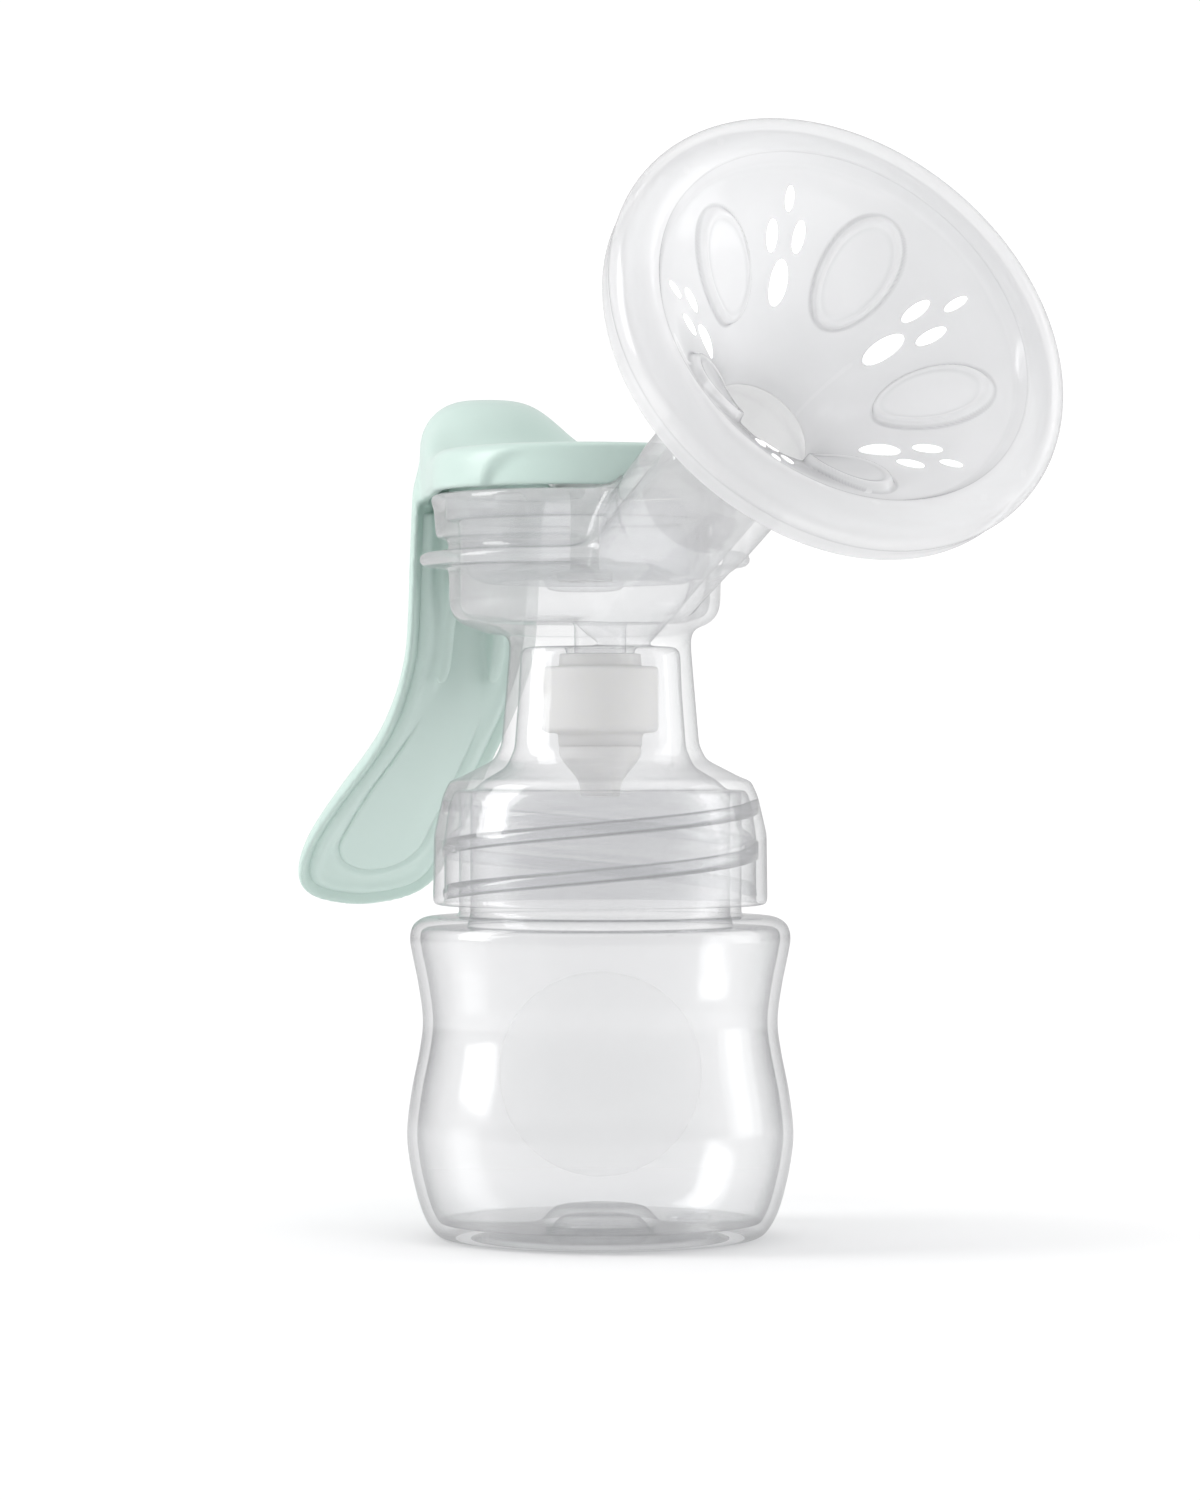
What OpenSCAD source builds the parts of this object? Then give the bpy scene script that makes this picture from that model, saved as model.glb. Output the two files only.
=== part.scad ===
// Manual breast pump: bottle, clear pump body with side funnel, soft massage
// cushion, duckbill valve, diaphragm with stem, and a two-part squeeze handle.
// Frame: origin on the bottle axis at the resting plane, +X along the funnel,
// +Z up. The handle is at the back, toward -X. All sizes are in millimetres.

/* [Bottle] */
// Radius of the bottle at its widest, near the foot
bottle_r = 34.2; // [33.8:0.1:35]
// Radius of the bottle at the waist
waist_r = 31.4; // [30.5:0.1:32]
// Wall thickness of the bottle
bottle_wall = 1.8; // [1.6:0.1:2]
// Height of the bottle shoulder above the table
shoulder_z = 57; // [56.8:0.1:57.2]
// Height of the bottle mouth above the table
mouth_z = 79; // [78.8:0.1:79]
// Outer radius of the bottle neck under its thread
neck_r = 25; // [24.8:0.1:25]

/* [Screw thread] */
// Rise of the two-start thread in one turn
lead = 16; // [15.5:0.5:16.5]
// Radius over the bottle's thread
thread_r = 26.9; // [26.6:0.1:27]
// Thickness of a thread ridge at its root
ridge_w = 2.2; // [2:0.1:2.3]

/* [Pump body] */
// Outer radius of the collar that screws onto the bottle
collar_r = 29.6; // [29.4:0.1:30]
// Outer radius of the neck above the collar, at its top
stalk_r = 16.1; // [15.9:0.1:16.6]
// Distance of the cup axis behind the bottle axis
cup_back = 5.9; // [5.8:0.1:6]
// Outer radius of the cup wall
cup_r = 24.3; // [24.2:0.1:24.5]
// Outer radius of the finger flange round the cup
flange_r = 29.45; // [28.8:0.05:29.6]
// Height of the cup's rim above the table
rim_z = 131.7; // [131.6:0.1:131.8]

/* [Funnel and cushion] */
// Angle of the funnel axis above horizontal
funnel_angle = 28.2; // [28:0.1:28.6]
// Distance of the funnel's rim plane in front of the bottle axis
rim_x = 82; // [81.5:0.1:82.5]
// Height of the centre of the funnel's rim plane
rim_cz = 153.9; // [153.6:0.1:154.2]
// Outer radius of the feed tube
tube_r = 12.5; // [12.3:0.1:12.7]
// Radius of the tunnel bore in the feed tube
tunnel_r = 9.8; // [9.6:0.1:9.9]
// Outer radius of the cushion's rolled edge
cushion_r = 40.8; // [40.6:0.1:41]
// Radius of the cushion's rolled edge in section
roll_r = 4.2; // [4.1:0.1:4.3]

/* [Handle] */
// Half the width of the handle above the grip
grip_hw = 14; // [13.8:0.1:14.4]
// Half the width of the grip's paddle at its widest
paddle_hw = 17.5; // [17:0.1:18]
// Depth of the handle shell behind its edge
shell_d = 8; // [7.5:0.1:8.5]
// Radius of the cap over the cup
cap_r = 27.3; // [27.2:0.1:27.5]
// Height of the flat top of the cap above the table
cap_z = 140.6; // [140.5:0.1:141]
// Distance of the hinge behind the bottle axis
pivot_back = 38; // [37.9:0.1:38.1]
// Height of the hinge above the table
pivot_z = 130; // [129.9:0.1:130.1]
// Radius of the hinge trunnion
pin_r = 2.5; // [2.4:0.05:2.5]

/* [Hidden] */
facets = 96;              // sides of the large round parts
clear = [0.93, 0.95, 0.96, 0.35];

collar_bore_r = 27.6;
neck_bore_r = neck_r - 2; // bore of the bottle's neck
stalk_bore_r = stalk_r - 2;
stalk_bore_top = 104.5;
stub_r = 6;               // outer radius of the valve stub
stub_bore_r = stub_r - 1.4;

cup_x = -cup_back;
cup_bore_r = 22.3;
floor_z = 109;            // inside of the cup's floor
seat_z = 127;             // ledge for the diaphragm's lip
seat_r = 24.8;            // bore of the cup above the ledge

lug_hw = 3.8;             // half width of the hinge lug
pin_hl = 7.2;             // half length of the hinge trunnion
hinge_play = 0.05;        // radial play of the hinge
bar_z = 135;              // height of the stem's cross bar
bar_r = 2;                // radius of the stem's cross bar
bar_play = 0.3;           // play round the cross bar in its slot

shell_wall = 2;           // wall of the handle shell
side_wall = 2.4;          // wall at the sides of the grip
cap_base_z = 132.2;       // underside of the handle's head and cap
plate_y = 4;              // inner face of each yoke plate
plate_t = 2.5;            // thickness of a yoke plate

// ---------- lists and curves ----------
function lerp(a, b, t) = a + (b - a) * t;
function reversed(list) = [for (i = [len(list) - 1 : -1 : 0]) list[i]];
function sum(list) = list * [for (item = list) 1];

// point at t on the Catmull-Rom span from b to c
function spline_point(a, b, c, d, t) =
    0.5 * ((2 * b) + (c - a) * t + (2 * a - 5 * b + 4 * c - d) * t * t
         + (3 * b - a - 3 * c + d) * t * t * t);

// smooth curve through the points, with the given steps a span
function curve(points, steps) =
    let (last = len(points) - 1)
    [for (i = [0 : last - 1]) for (k = [0 : steps - 1])
        spline_point(points[max(i - 1, 0)], points[i], points[i + 1],
                     points[min(i + 2, last)], k / steps),
     points[last]];

// unit direction of a line at point i
function direction(line, i) =
    let (before = line[max(i - 1, 0)], after = line[min(i + 1, len(line) - 1)])
    (after - before) / norm(after - before);

// point i of a line, moved to the line's left by a distance
function left_point(line, i, distance) =
    let (along = direction(line, i))
    line[i] + distance * [-along[1], along[0]];

// ---------- solids ----------
// solid through a list of closed rings, each with the same number of points
module loft(rings) {
    n = len(rings[0]);
    last = len(rings) - 1;
    points = [for (ring = rings) each ring];
    faces = concat(
        [[for (i = [0 : n - 1]) i]],
        [for (j = [0 : last - 1]) for (i = [0 : n - 1])
            let (k = (i + 1) % n)
            each [[j * n + i, (j + 1) * n + i, (j + 1) * n + k],
                  [j * n + i, (j + 1) * n + k, j * n + k]]],
        [[for (i = [n - 1 : -1 : 0]) last * n + i]]);
    // the rings may run either way round, so the faces are turned to look outward
    turn = sum([for (face = faces) for (i = [1 : len(face) - 2])
        cross(points[face[0]], points[face[i]]) * points[face[i + 1]]]);
    polyhedron(points = points,
               faces = turn > 0 ? [for (face = faces) reversed(face)] : faces);
}

// profile of [radius, z] points turned about the Z axis
module turned(profile) {
    rotate_extrude($fn = facets) polygon(profile);
}

// upright cylinder between two heights
module rod(radius, bottom, top, sides = facets) {
    translate([0, 0, bottom]) cylinder(r = radius, h = top - bottom, $fn = sides);
}

// cylinder along Y, centred on y = 0
module cross_rod(radius, half_length, x, z) {
    translate([x, half_length, z]) rotate([90, 0, 0])
        cylinder(r = radius, h = 2 * half_length, $fn = 48);
}

// outline of [x, z] points made into a plate that starts at y
module plate(y, thickness) {
    translate([0, y + thickness, 0]) rotate([90, 0, 0])
        linear_extrude(height = thickness) children();
}

// two opposite helical ridges from radius root to tip, between two angles;
// zero_z is the height where the angle is zero
module thread(root, tip, zero_z, start_angle, end_angle) {
    steps = 48;
    side = tip > root ? 1 : -1;
    rings = [for (s = [0 : steps])
        let (angle = lerp(start_angle, end_angle, s / steps),
             z = zero_z + lead * angle / 360,
             // the ends fade out over five steps
             fade = min(1, 0.12 + min(s, steps - s) / 5),
             thin = lerp(0.6, 1, fade),
             crest = lerp(root, tip, fade),
             root_h = side * ridge_w * 0.5 * thin,
             crest_h = side * ridge_w * 0.32 * thin)
        [for (p = [[root, -root_h], [crest, -crest_h], [crest, crest_h], [root, root_h]])
            [p[0] * cos(angle), p[0] * sin(angle), z + p[1]]]];
    for (start = [0, 180]) rotate([0, 0, start]) loft(rings);
}

module on_cup_axis() {
    translate([cup_x, 0, 0]) children();
}

// +Z along the funnel axis, z = 0 at the rim plane
module funnel_frame() {
    translate([rim_x, 0, rim_cz]) rotate([0, 90 - funnel_angle, 0]) children();
}

// ---------- bottle ----------
// [radius, z] up the outside, from the foot to the shoulder
bottle_side = curve([
    [26, 0], [28.4, 0.5], [30, 2], [31.4, 4.6], [32.6, 8.4],
    [bottle_r - 0.5, 13.5], [bottle_r, 19],
    [lerp(waist_r, bottle_r, 0.72), 26], [lerp(waist_r, bottle_r, 0.22), 33],
    [waist_r, 38.5], [waist_r + 0.7, 44.5], [33.3, 50.5], [33.65, 53.3], [33, 55.5],
    [31, shoulder_z - 0.2], [28, shoulder_z]], 4);

module bottle() {
    inside = [for (i = [0 : len(bottle_side) - 1]) left_point(bottle_side, i, bottle_wall)];
    color(clear)
    union() {
        turned(concat(
            // underside
            [[0, 4.2], [6.2, 3.9], [8.7, 1.5], [10, 1], [20, 0.8], [21.5, 0]],
            bottle_side,
            // neck, up the outside and down the bore
            [[neck_r + 0.6, shoulder_z], [neck_r, shoulder_z + 0.6],
             [neck_r, mouth_z - 0.6], [neck_r - 0.6, mouth_z],
             [neck_r - 1.6, mouth_z], [neck_bore_r, mouth_z - 0.5],
             [neck_bore_r, shoulder_z + 0.4], [neck_r - 1.2, shoulder_z - bottle_wall]],
            reversed([for (p = inside) if (p[1] > 2.8 && p[1] < shoulder_z - 1) p]),
            // inside of the base
            [[24, 2.6], [11.5, 2.6], [10, 3.2], [7, 5.7], [0, 6]]));
        thread(root = neck_r - 0.5, tip = thread_r, zero_z = 76.3,
               start_angle = -250, end_angle = 0);
    }
}

// ---------- pump body ----------
// [radius, z] up the inside of the cup, from the floor to the ledge
chamber_side = [[19, floor_z], [21.4, 110.4], [cup_bore_r, 112.5],
                [cup_bore_r, seat_z], [seat_r, seat_z]];

// collar, shoulder and neck
module collar() {
    turned([
        [collar_bore_r, 58.9], [collar_r - 0.7, 58.9], [collar_r, 59.8],
        [collar_r - 0.15, 71.5], [27.9, 78.1], [26.6, 80.6], [24.9, 81.4], [18.7, 84.6],
        [17.6, 87.1], [stalk_r + 0.7, 95.6], [stalk_r, 104], [stalk_r, 108], [0, 108],
        [0, stalk_bore_top], [stalk_bore_r, stalk_bore_top], [stalk_r - 1.5, 92],
        [15.2, 86.5], [16.4, 83.4], [20.5, 80.8], [22, 79.2], [25.8, 79.2],
        [26.8, 76.5], [collar_bore_r, 71]]);
    thread(root = collar_bore_r + 0.5, tip = neck_r + 0.6, zero_z = 74,
           start_angle = -270, end_angle = 50);
}

// cup with finger flange and rim band
module cup() {
    turned(concat(
        [[0, 106.9], [16.5, 106.9], [20.3, 108], [23, 110.6], [cup_r - 0.2, 114],
         [cup_r, 118.6], [flange_r - 1, 118.9], [flange_r, 119.7], [flange_r, 120.7],
         [flange_r - 1, 121.5], [cup_r, 121.8], [cup_r, 123.6], [26.5, 124], [27, 129.6],
         [27.35, 129.8], [27.35, rim_z], [seat_r, rim_z]],
        reversed(chamber_side),
        [[0, floor_z]]));
}

// feed tube and funnel, in the funnel's frame
module funnel() {
    rod(tube_r, -96, -34);
    turned([
        // back face, out to the rim
        [tunnel_r - 1, -37], [tube_r, -37], [tube_r + 0.4, -32], [15.6, -23.2], [21, -15.6],
        [27, -9.4], [32.5, -4.6], [37, -1.6], [38.6, -0.7], [38.9, 0.3], [37.6, 0.5],
        // front face, in to the throat
        [35, -0.8], [31.4, -2.9], [26, -7.2], [20, -13.4], [14.2, -21.4], [12.1, -27],
        [11.9, -31.2], [tunnel_r - 1, -31.2]]);
}

// lug behind the cup's rim, with the trunnion through it
module hinge_lug() {
    plate(-lug_hw, 2 * lug_hw)
        polygon([[-pivot_back, pivot_z - 4], [-31.5, 124.4], [-31.5, rim_z - 0.3],
                 [-pivot_back, pivot_z + 4]]);
    cross_rod(4, lug_hw, -pivot_back, pivot_z);
    cross_rod(pin_r, pin_hl, -pivot_back, pivot_z);
}

module pump_body() {
    color(clear)
    difference() {
        union() {
            collar();
            on_cup_axis() cup();
            funnel_frame() funnel();
            // valve stub under the cup's floor
            rod(stub_r, 92, 107);
            hinge_lug();
        }
        // the cup's chamber stays clear of the tube
        on_cup_axis() turned(concat([[0, floor_z]], chamber_side, [[seat_r, 150], [0, 150]]));
        // tunnel from the funnel's throat into the chamber
        funnel_frame() rod(tunnel_r, -88, -30);
        // passage down through the valve stub
        rod(stub_bore_r, 91, 111);
        // the neck stays open round the stub
        difference() {
            rod(stalk_bore_r, 88, stalk_bore_top);
            rod(stub_r, 87, 106);
        }
    }
}

// ---------- soft pieces ----------
// [radius, z] of the cushion's inner face in the funnel's frame, from roll to throat
cushion_face = curve([
    [32.4, 1.2], [31.2, -0.1], [27.9, -2.7], [23.4, -6.8], [17.7, -12.4],
    [14, -17.2], [11.3, -22], [9.9, -26.5], [9.6, -31]], 3);

module massage_cushion() {
    roll_centre = [cushion_r - roll_r, 0.5];
    color([0.97, 0.97, 0.97, 0.8])
    funnel_frame()
    turned(concat(
        [for (angle = [140 : -15 : -80]) roll_centre + roll_r * [cos(angle), sin(angle)]],
        // round the funnel's rim and down its front face
        [[38.9, -2.2], [39.1, 0.6], [37.6, 0.75], [34.9, -0.6], [31.2, -2.75], [25.8, -7],
         [19.8, -13.2], [14, -21.2], [11.9, -27], [11.7, -30.9]],
        reversed(cushion_face)));
}

// round above, narrowing down to a flat tip of size [x, y, z]
module beak(radius, bottom, top, tip, tip_z) {
    hull() {
        rod(radius, bottom, top, 32);
        translate([-tip[0] / 2, -tip[1] / 2, tip_z]) cube(tip);
    }
}

module duckbill_valve() {
    color([0.97, 0.97, 0.96])
    difference() {
        union() {
            turned([[0, 89.4], [9.6, 89.4], [10.3, 90.1], [10.3, 100.4], [9.6, 101.1],
                    [7.4, 101.1], [7.2, 103.4], [0, 103.4]]);
            beak(radius = 7.3, bottom = 86, top = 89.6, tip = [11, 1.6, 0.5], tip_z = 78);
        }
        // socket for the valve stub
        rod(stub_r, 91.9, 103.9);
        // inside of the beak, down to the slit
        beak(radius = 5, bottom = 87, top = 92, tip = [9.2, 0.2, 1], tip_z = 77.5);
    }
}

module diaphragm() {
    lip_z = rim_z + 0.1;
    lip_base_z = seat_z + 0.05;
    color([0.97, 0.97, 0.97, 0.7])
    on_cup_axis()
    turned(concat(
        [[24.7, lip_z], [24.7, lip_base_z], [22.1, lip_base_z], [21.9, 126.4]],
        // underside, in to the axis
        curve([[21.7, 123], [21.4, 119.6], [20, 117], [17, 116], [14, 117.2], [11, 118.2],
               [7.5, 116.6], [6, 114.8], [0, 114.6]], 3),
        // pocket for the stem's foot
        [[0, 116.2], [5.1, 116.2], [5.1, 118.3], [2.65, 118.3], [2.65, 120.4], [5.4, 120.2]],
        // top side, out to the lip
        curve([[7.4, 119.2], [11, 119.6], [14.4, 118.6], [17, 117.3], [19, 118],
               [20.2, 120.2], [20.5, 123]], 3),
        [[20.6, 128.6], [21.4, lip_z]]));
}

module diaphragm_stem() {
    color([0.96, 0.96, 0.95])
    on_cup_axis()
    union() {
        rod(5.05, 116.25, 118.25, 48);
        rod(2.6, 117, bar_z, 48);
        cross_rod(bar_r, 7, 0, bar_z);
    }
}

// ---------- grip ----------
// [x, z] along the grip's edge seen from the side, from the tip of the paddle up
grip_line = curve([
    [-100, 55.4], [-95.6, 61.2], [-89.9, 67.2], [-83.9, 72.2], [-76.7, 77.8],
    [-70, 82.6], [-63.8, 87.4], [-58, 92.9], [-53.4, 98.6], [-50.4, 104.6],
    [-49.1, 112], [-48.4, 120], [-47.6, 128], [-46.6, 138]], 3);
grip_last = len(grip_line) - 1;

// [distance from the tip, half width]
grip_widths = [
    [0, paddle_hw - 0.6], [16, paddle_hw], [30, paddle_hw - 0.4],
    [45, lerp(grip_hw, paddle_hw, 0.5)], [60, grip_hw + 0.2], [70, grip_hw],
    [100, grip_hw - 0.2]];

// distance of station i along the grip's edge from the tip
function tip_distance(i) =
    i == 0 ? 0 : tip_distance(i - 1) + norm(grip_line[i] - grip_line[i - 1]);

// half width at station i, rounded off near the tip
function half_width(i) =
    let (s = tip_distance(i), width = lookup(s, grip_widths))
    s < 17 ? max(width * sqrt(1 - pow(1 - (s + 0.5) / 17.5, 2)), 1) : width;

// depth of the shell behind its edge at station i
function bulge(i) = lerp(2.6, shell_d, min(1, 0.35 + tip_distance(i) / 26));

// point at station i, y across, at a depth behind the edge line
function grip_point(i, y, depth) =
    let (p = left_point(grip_line, i, depth)) [p[0], y, p[1]];

// ring with an arched back; front, edge and back are depths behind the edge line
function arch_ring(i, width, front, edge, back) = concat(
    [grip_point(i, -width, front)],
    [for (a = [0 : 15 : 180])
        grip_point(i, -width * cos(a) * (1 - 0.03 * sin(a)), edge + (back - edge) * sin(a))],
    [grip_point(i, width, front)]);

// ring of a flat strip; crown raises the middle of its front, and taper is
// the width of its back over that of its front
function strip_ring(i, width, front, back, crown = 0, taper = 1) = concat(
    crown == 0
        ? [grip_point(i, -width, front), grip_point(i, width, front)]
        : [for (k = [-3 : 3]) grip_point(i, width * k / 3, front - crown * (1 - k * k / 9))],
    [grip_point(i, width * taper, back), grip_point(i, -width * taper, back)]);

// ---------- handle ----------
// spheres of the hump behind the cup: [x, distance to each side, z, radius]
hump_spheres = [[-45.2, 4.8, 141.7, 9.3], [-49.2, 8.6, 131.5, 5.4], [-25, 12, 133.6, 6]];

// hump behind the cup, merging forward into the cap
module hump(inset) {
    hull()
    for (side = [-1, 1], ball = hump_spheres)
        translate([ball[0], side * ball[1], ball[2]]) sphere(r = ball[3] - inset, $fn = 32);
}

// cap over the cup; drop lowers its underside
module cap(inset, drop) {
    round_r = 5;
    base_z = cap_base_z - drop;
    on_cup_axis()
    turned(concat(
        [[0, base_z], [cap_r - inset, base_z]],
        [for (a = [0 : 15 : 90])
            [cap_r - round_r, cap_z - round_r] + (round_r - inset) * [cos(a), sin(a)]],
        [[0, cap_z - inset]]));
}

module handle_shell() {
    color([0.74, 0.85, 0.8])
    difference() {
        union() {
            loft([for (i = [0 : grip_last])
                arch_ring(i, half_width(i), front = 0, edge = 2.2, back = bulge(i))]);
            hump(0);
            cap(0, 0);
        }
        // hollow of the grip and of the head
        loft([for (i = [3 : grip_last])
            arch_ring(i, max(half_width(i) - side_wall, 0.8),
                      front = -3, edge = 1.6, back = bulge(i) - shell_wall)]);
        hump(shell_wall);
        cap(shell_wall, 2);
        // open underside of the head, and the way through to the grip
        translate([-46.8, -40, 118]) cube([92, 80, cap_base_z - 118]);
        translate([-50.5, side_wall - grip_hw, 122]) cube([8, 2 * (grip_hw - side_wall), 14]);
        // relief in the cap's front edge for the feed tube
        funnel_frame() rod(tube_r + 0.8, -95, -35, 64);
    }
}

// side plate of the yoke: from the liner past the hinge to the stem's cross bar
module yoke_plate(y) {
    slot = bar_r + bar_play;
    plate(y, plate_t)
    difference() {
        polygon([
            [-51.2, 107], [-48.2, 107], [-41.8, 125.4], [-35.8, 126.2], [-33.8, 129],
            [-33, 132.8], [-12, 132.8], [-9.6, 130.6], [1.4, 130.6], [2.6, 131.4],
            // slot round the cross bar, open to the front
            [2.6, bar_z - slot], [cup_x - slot, bar_z - slot],
            [cup_x - slot, bar_z + slot], [2.6, bar_z + slot],
            [2.6, 138.4], [-34, 138.4], [-44, 138.4], [-48, 135], [-49.6, 128], [-50.4, 118]]);
        translate([-pivot_back, pivot_z]) circle(r = pin_r + hinge_play, $fn = 48);
    }
}

// rounded pad along the grip, widened all round by grow
module pad(grow, front, back) {
    first = 5;
    last = 19;
    start = tip_distance(first);
    length = tip_distance(last) - start;
    loft([for (i = [first : last])
        let (t = (tip_distance(i) - start) / length,
             width = 10.2 * pow(max(sin(180 * pow(t, 0.72)), 0.02), 0.42) + grow)
        strip_ring(i, width, front, back)]);
}

module handle_liner() {
    web_hw = plate_y + 0.2;
    color([0.77, 0.87, 0.82])
    difference() {
        union() {
            loft([for (i = [4 : grip_last - 3])
                strip_ring(i, max(half_width(i) - side_wall - 0.25, 0.6),
                           front = 0.5, back = 2.5, crown = 0.6, taper = 0.9)]);
            for (y = [plate_y, -plate_y - plate_t]) yoke_plate(y);
            // web that ties the two plates together
            translate([-50, -web_hw, 108]) cube([5, 2 * web_hw, 17]);
        }
        // recess for the grip pad
        pad(grow = 0.12, front = -1, back = 1.3);
    }
}

module grip_pad() {
    color([0.75, 0.86, 0.81])
    pad(grow = 0, front = 0.1, back = 1.25);
}

bottle();
pump_body();
massage_cushion();
duckbill_valve();
diaphragm();
diaphragm_stem();
handle_shell();
handle_liner();
grip_pad();
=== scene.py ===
"""Manual breast pump: bottle, clear pump body, soft cushion, valve, diaphragm and green handle.

The bottle stands on z = 0 with its axis along z. The funnel opens towards +x and upwards, the
handle hangs on the -x side, and the whole is symmetric about y = 0. Shapes are written in
millimetres and become metres when a mesh is made. Materials, lights and camera use metres.
"""
import functools
import math

import bmesh
import bpy
import numpy as np
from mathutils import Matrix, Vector


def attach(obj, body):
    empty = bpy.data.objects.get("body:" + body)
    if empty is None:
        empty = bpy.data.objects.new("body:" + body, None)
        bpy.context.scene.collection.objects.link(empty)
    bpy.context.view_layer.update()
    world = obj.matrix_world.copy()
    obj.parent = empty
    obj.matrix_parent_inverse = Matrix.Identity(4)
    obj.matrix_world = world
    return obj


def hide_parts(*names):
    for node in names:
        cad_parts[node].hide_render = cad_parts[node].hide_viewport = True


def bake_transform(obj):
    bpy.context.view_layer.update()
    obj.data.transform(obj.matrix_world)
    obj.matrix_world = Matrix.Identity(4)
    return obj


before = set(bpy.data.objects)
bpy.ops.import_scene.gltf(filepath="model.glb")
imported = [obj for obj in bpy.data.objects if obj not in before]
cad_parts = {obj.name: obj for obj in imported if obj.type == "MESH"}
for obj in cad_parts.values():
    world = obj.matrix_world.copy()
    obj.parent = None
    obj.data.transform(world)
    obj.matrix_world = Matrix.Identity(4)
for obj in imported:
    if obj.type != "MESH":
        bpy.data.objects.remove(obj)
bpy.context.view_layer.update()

MM = 0.001
F32 = np.float32

# ------------------------------------------------------------------ driving sizes
CUP_X = -5.9                        # axis of the cup, diaphragm and stem
CUP_TOP = 131.75
TILT = math.radians(28.2)           # funnel axis above the horizontal
RIM_CENTRE = np.array([82.0, 0.0, 153.9])
FUNNEL_AXIS = np.array([math.cos(TILT), 0.0, math.sin(TILT)])     # outward
RIM_UP = np.array([-math.sin(TILT), 0.0, math.cos(TILT)])         # up in the rim plane
PIVOT_X, PIVOT_Z = -38.0, 130.0     # handle hinge
PIN_RADIUS = 2.5
THREAD_LEAD = 16.0

# size of the grid cells that the field meshes are built on
HANDLE_STEP = 0.5
LINER_STEP = HANDLE_STEP * 0.9
BODY_STEP = 0.55
STEM_STEP = 0.25


# ------------------------------------------------------------------ distance fields
# Fields are negative inside a shape; soft is the width of the rounded seam.
def soft_min(first, second, soft):
    share = np.clip(0.5 + 0.5 * (second - first) / soft, 0, 1)
    return second + (first - second) * share - soft * share * (1 - share)


def soft_max(first, second, soft):
    return -soft_min(-first, -second, soft)


def carve(body, tool, soft):
    return soft_max(body, -tool, soft)


def overlap(*fields):
    return functools.reduce(np.maximum, fields)


def slab(value, half, middle=0):
    return np.abs(value - middle) - half


def between(value, low, high):
    return np.maximum(low - value, value - high)


def smoothstep(value, start, end):
    part = np.clip((value - start) / (end - start), 0, 1)
    return part * part * (3 - 2 * part)


def lookup(value, table):
    """Linear interpolation in a table of (position, result) rows."""
    return np.interp(value, *np.transpose(table))


def single(*arrays):
    return [array.astype(F32) for array in arrays]


def polygon_distance(px, py, polygon):
    """Signed distance to a closed polygon."""
    polygon = np.asarray(polygon, float)
    nearest = np.full(px.shape, 1e9)
    inside = np.zeros(px.shape, bool)
    for (x1, y1), (x2, y2) in zip(polygon, np.roll(polygon, -1, 0)):
        edge_x, edge_y = x2 - x1, y2 - y1
        from_x, from_y = px - x1, py - y1
        square = edge_x * edge_x + edge_y * edge_y
        if square < 1e-12:
            continue
        part = np.clip((from_x * edge_x + from_y * edge_y) / square, 0, 1)
        nearest = np.minimum(nearest,
                             (from_x - edge_x * part) ** 2 + (from_y - edge_y * part) ** 2)
        if edge_y != 0:
            straddles = (y1 > py) != (y2 > py)
            inside ^= straddles & (px < edge_x * (py - y1) / edge_y + x1)
    nearest = np.sqrt(nearest)
    return np.where(inside, -nearest, nearest)


def blur_plane(values, times):
    for _ in range(times):
        for axis in (0, 1):
            values = (np.roll(values, 1, axis) + 2 * values + np.roll(values, -1, axis)) / 4
    return values


class PlaneField:
    """A 2D field sampled once and read back by bilinear interpolation."""

    def __init__(self, function, low, high, step, blurs=1):
        self.low, self.step = low, step
        first, second = [low[i] + step * np.arange(int((high[i] - low[i]) / step) + 2)
                         for i in (0, 1)]
        samples = function(*np.meshgrid(first, second, indexing="ij"))
        self.values = blur_plane(samples, blurs).astype(F32)

    def __call__(self, first, second):
        values = self.values
        col = np.clip((first - self.low[0]) / self.step, 0, values.shape[0] - 1.001)
        row = np.clip((second - self.low[1]) / self.step, 0, values.shape[1] - 1.001)
        i, j = col.astype(np.int32), row.astype(np.int32)
        col_part, row_part = col - i, row - j
        return ((values[i, j] * (1 - row_part) + values[i, j + 1] * row_part) * (1 - col_part)
                + (values[i + 1, j] * (1 - row_part) + values[i + 1, j + 1] * row_part)
                * col_part)


def turned_field(profile):
    """Field of a turned solid over (radius, z); the axis side of the outline may lie at r < 0."""
    profile = np.array(profile, float)
    margin = 12.0
    return PlaneField(lambda radius, z: polygon_distance(radius, z, profile),
                      low=(-0.4, profile[:, 1].min() - margin),
                      high=(profile[:, 0].max() + margin, profile[:, 1].max() + margin),
                      step=0.2)


# ------------------------------------------------------------------ outlines
def spline(points, steps):
    """Catmull-Rom curve through the points, with this many steps between neighbours."""
    points = np.array(points, float)
    last = len(points) - 1
    curve = []
    for i in range(last):
        before, start = points[max(i - 1, 0)], points[i]
        end, after = points[i + 1], points[min(i + 2, last)]
        for k in range(steps):
            part = k / steps
            curve.append(0.5 * ((2 * start) + (end - before) * part
                                + (2 * before - 5 * start + 4 * end - after) * part * part
                                + (3 * start - before - 3 * end + after) * part ** 3))
    curve.append(points[-1])
    return np.array(curve)


def unit_tangents(curve):
    tangents = np.gradient(curve, axis=0)
    return tangents / np.linalg.norm(tangents, axis=1)[:, None]


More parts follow.
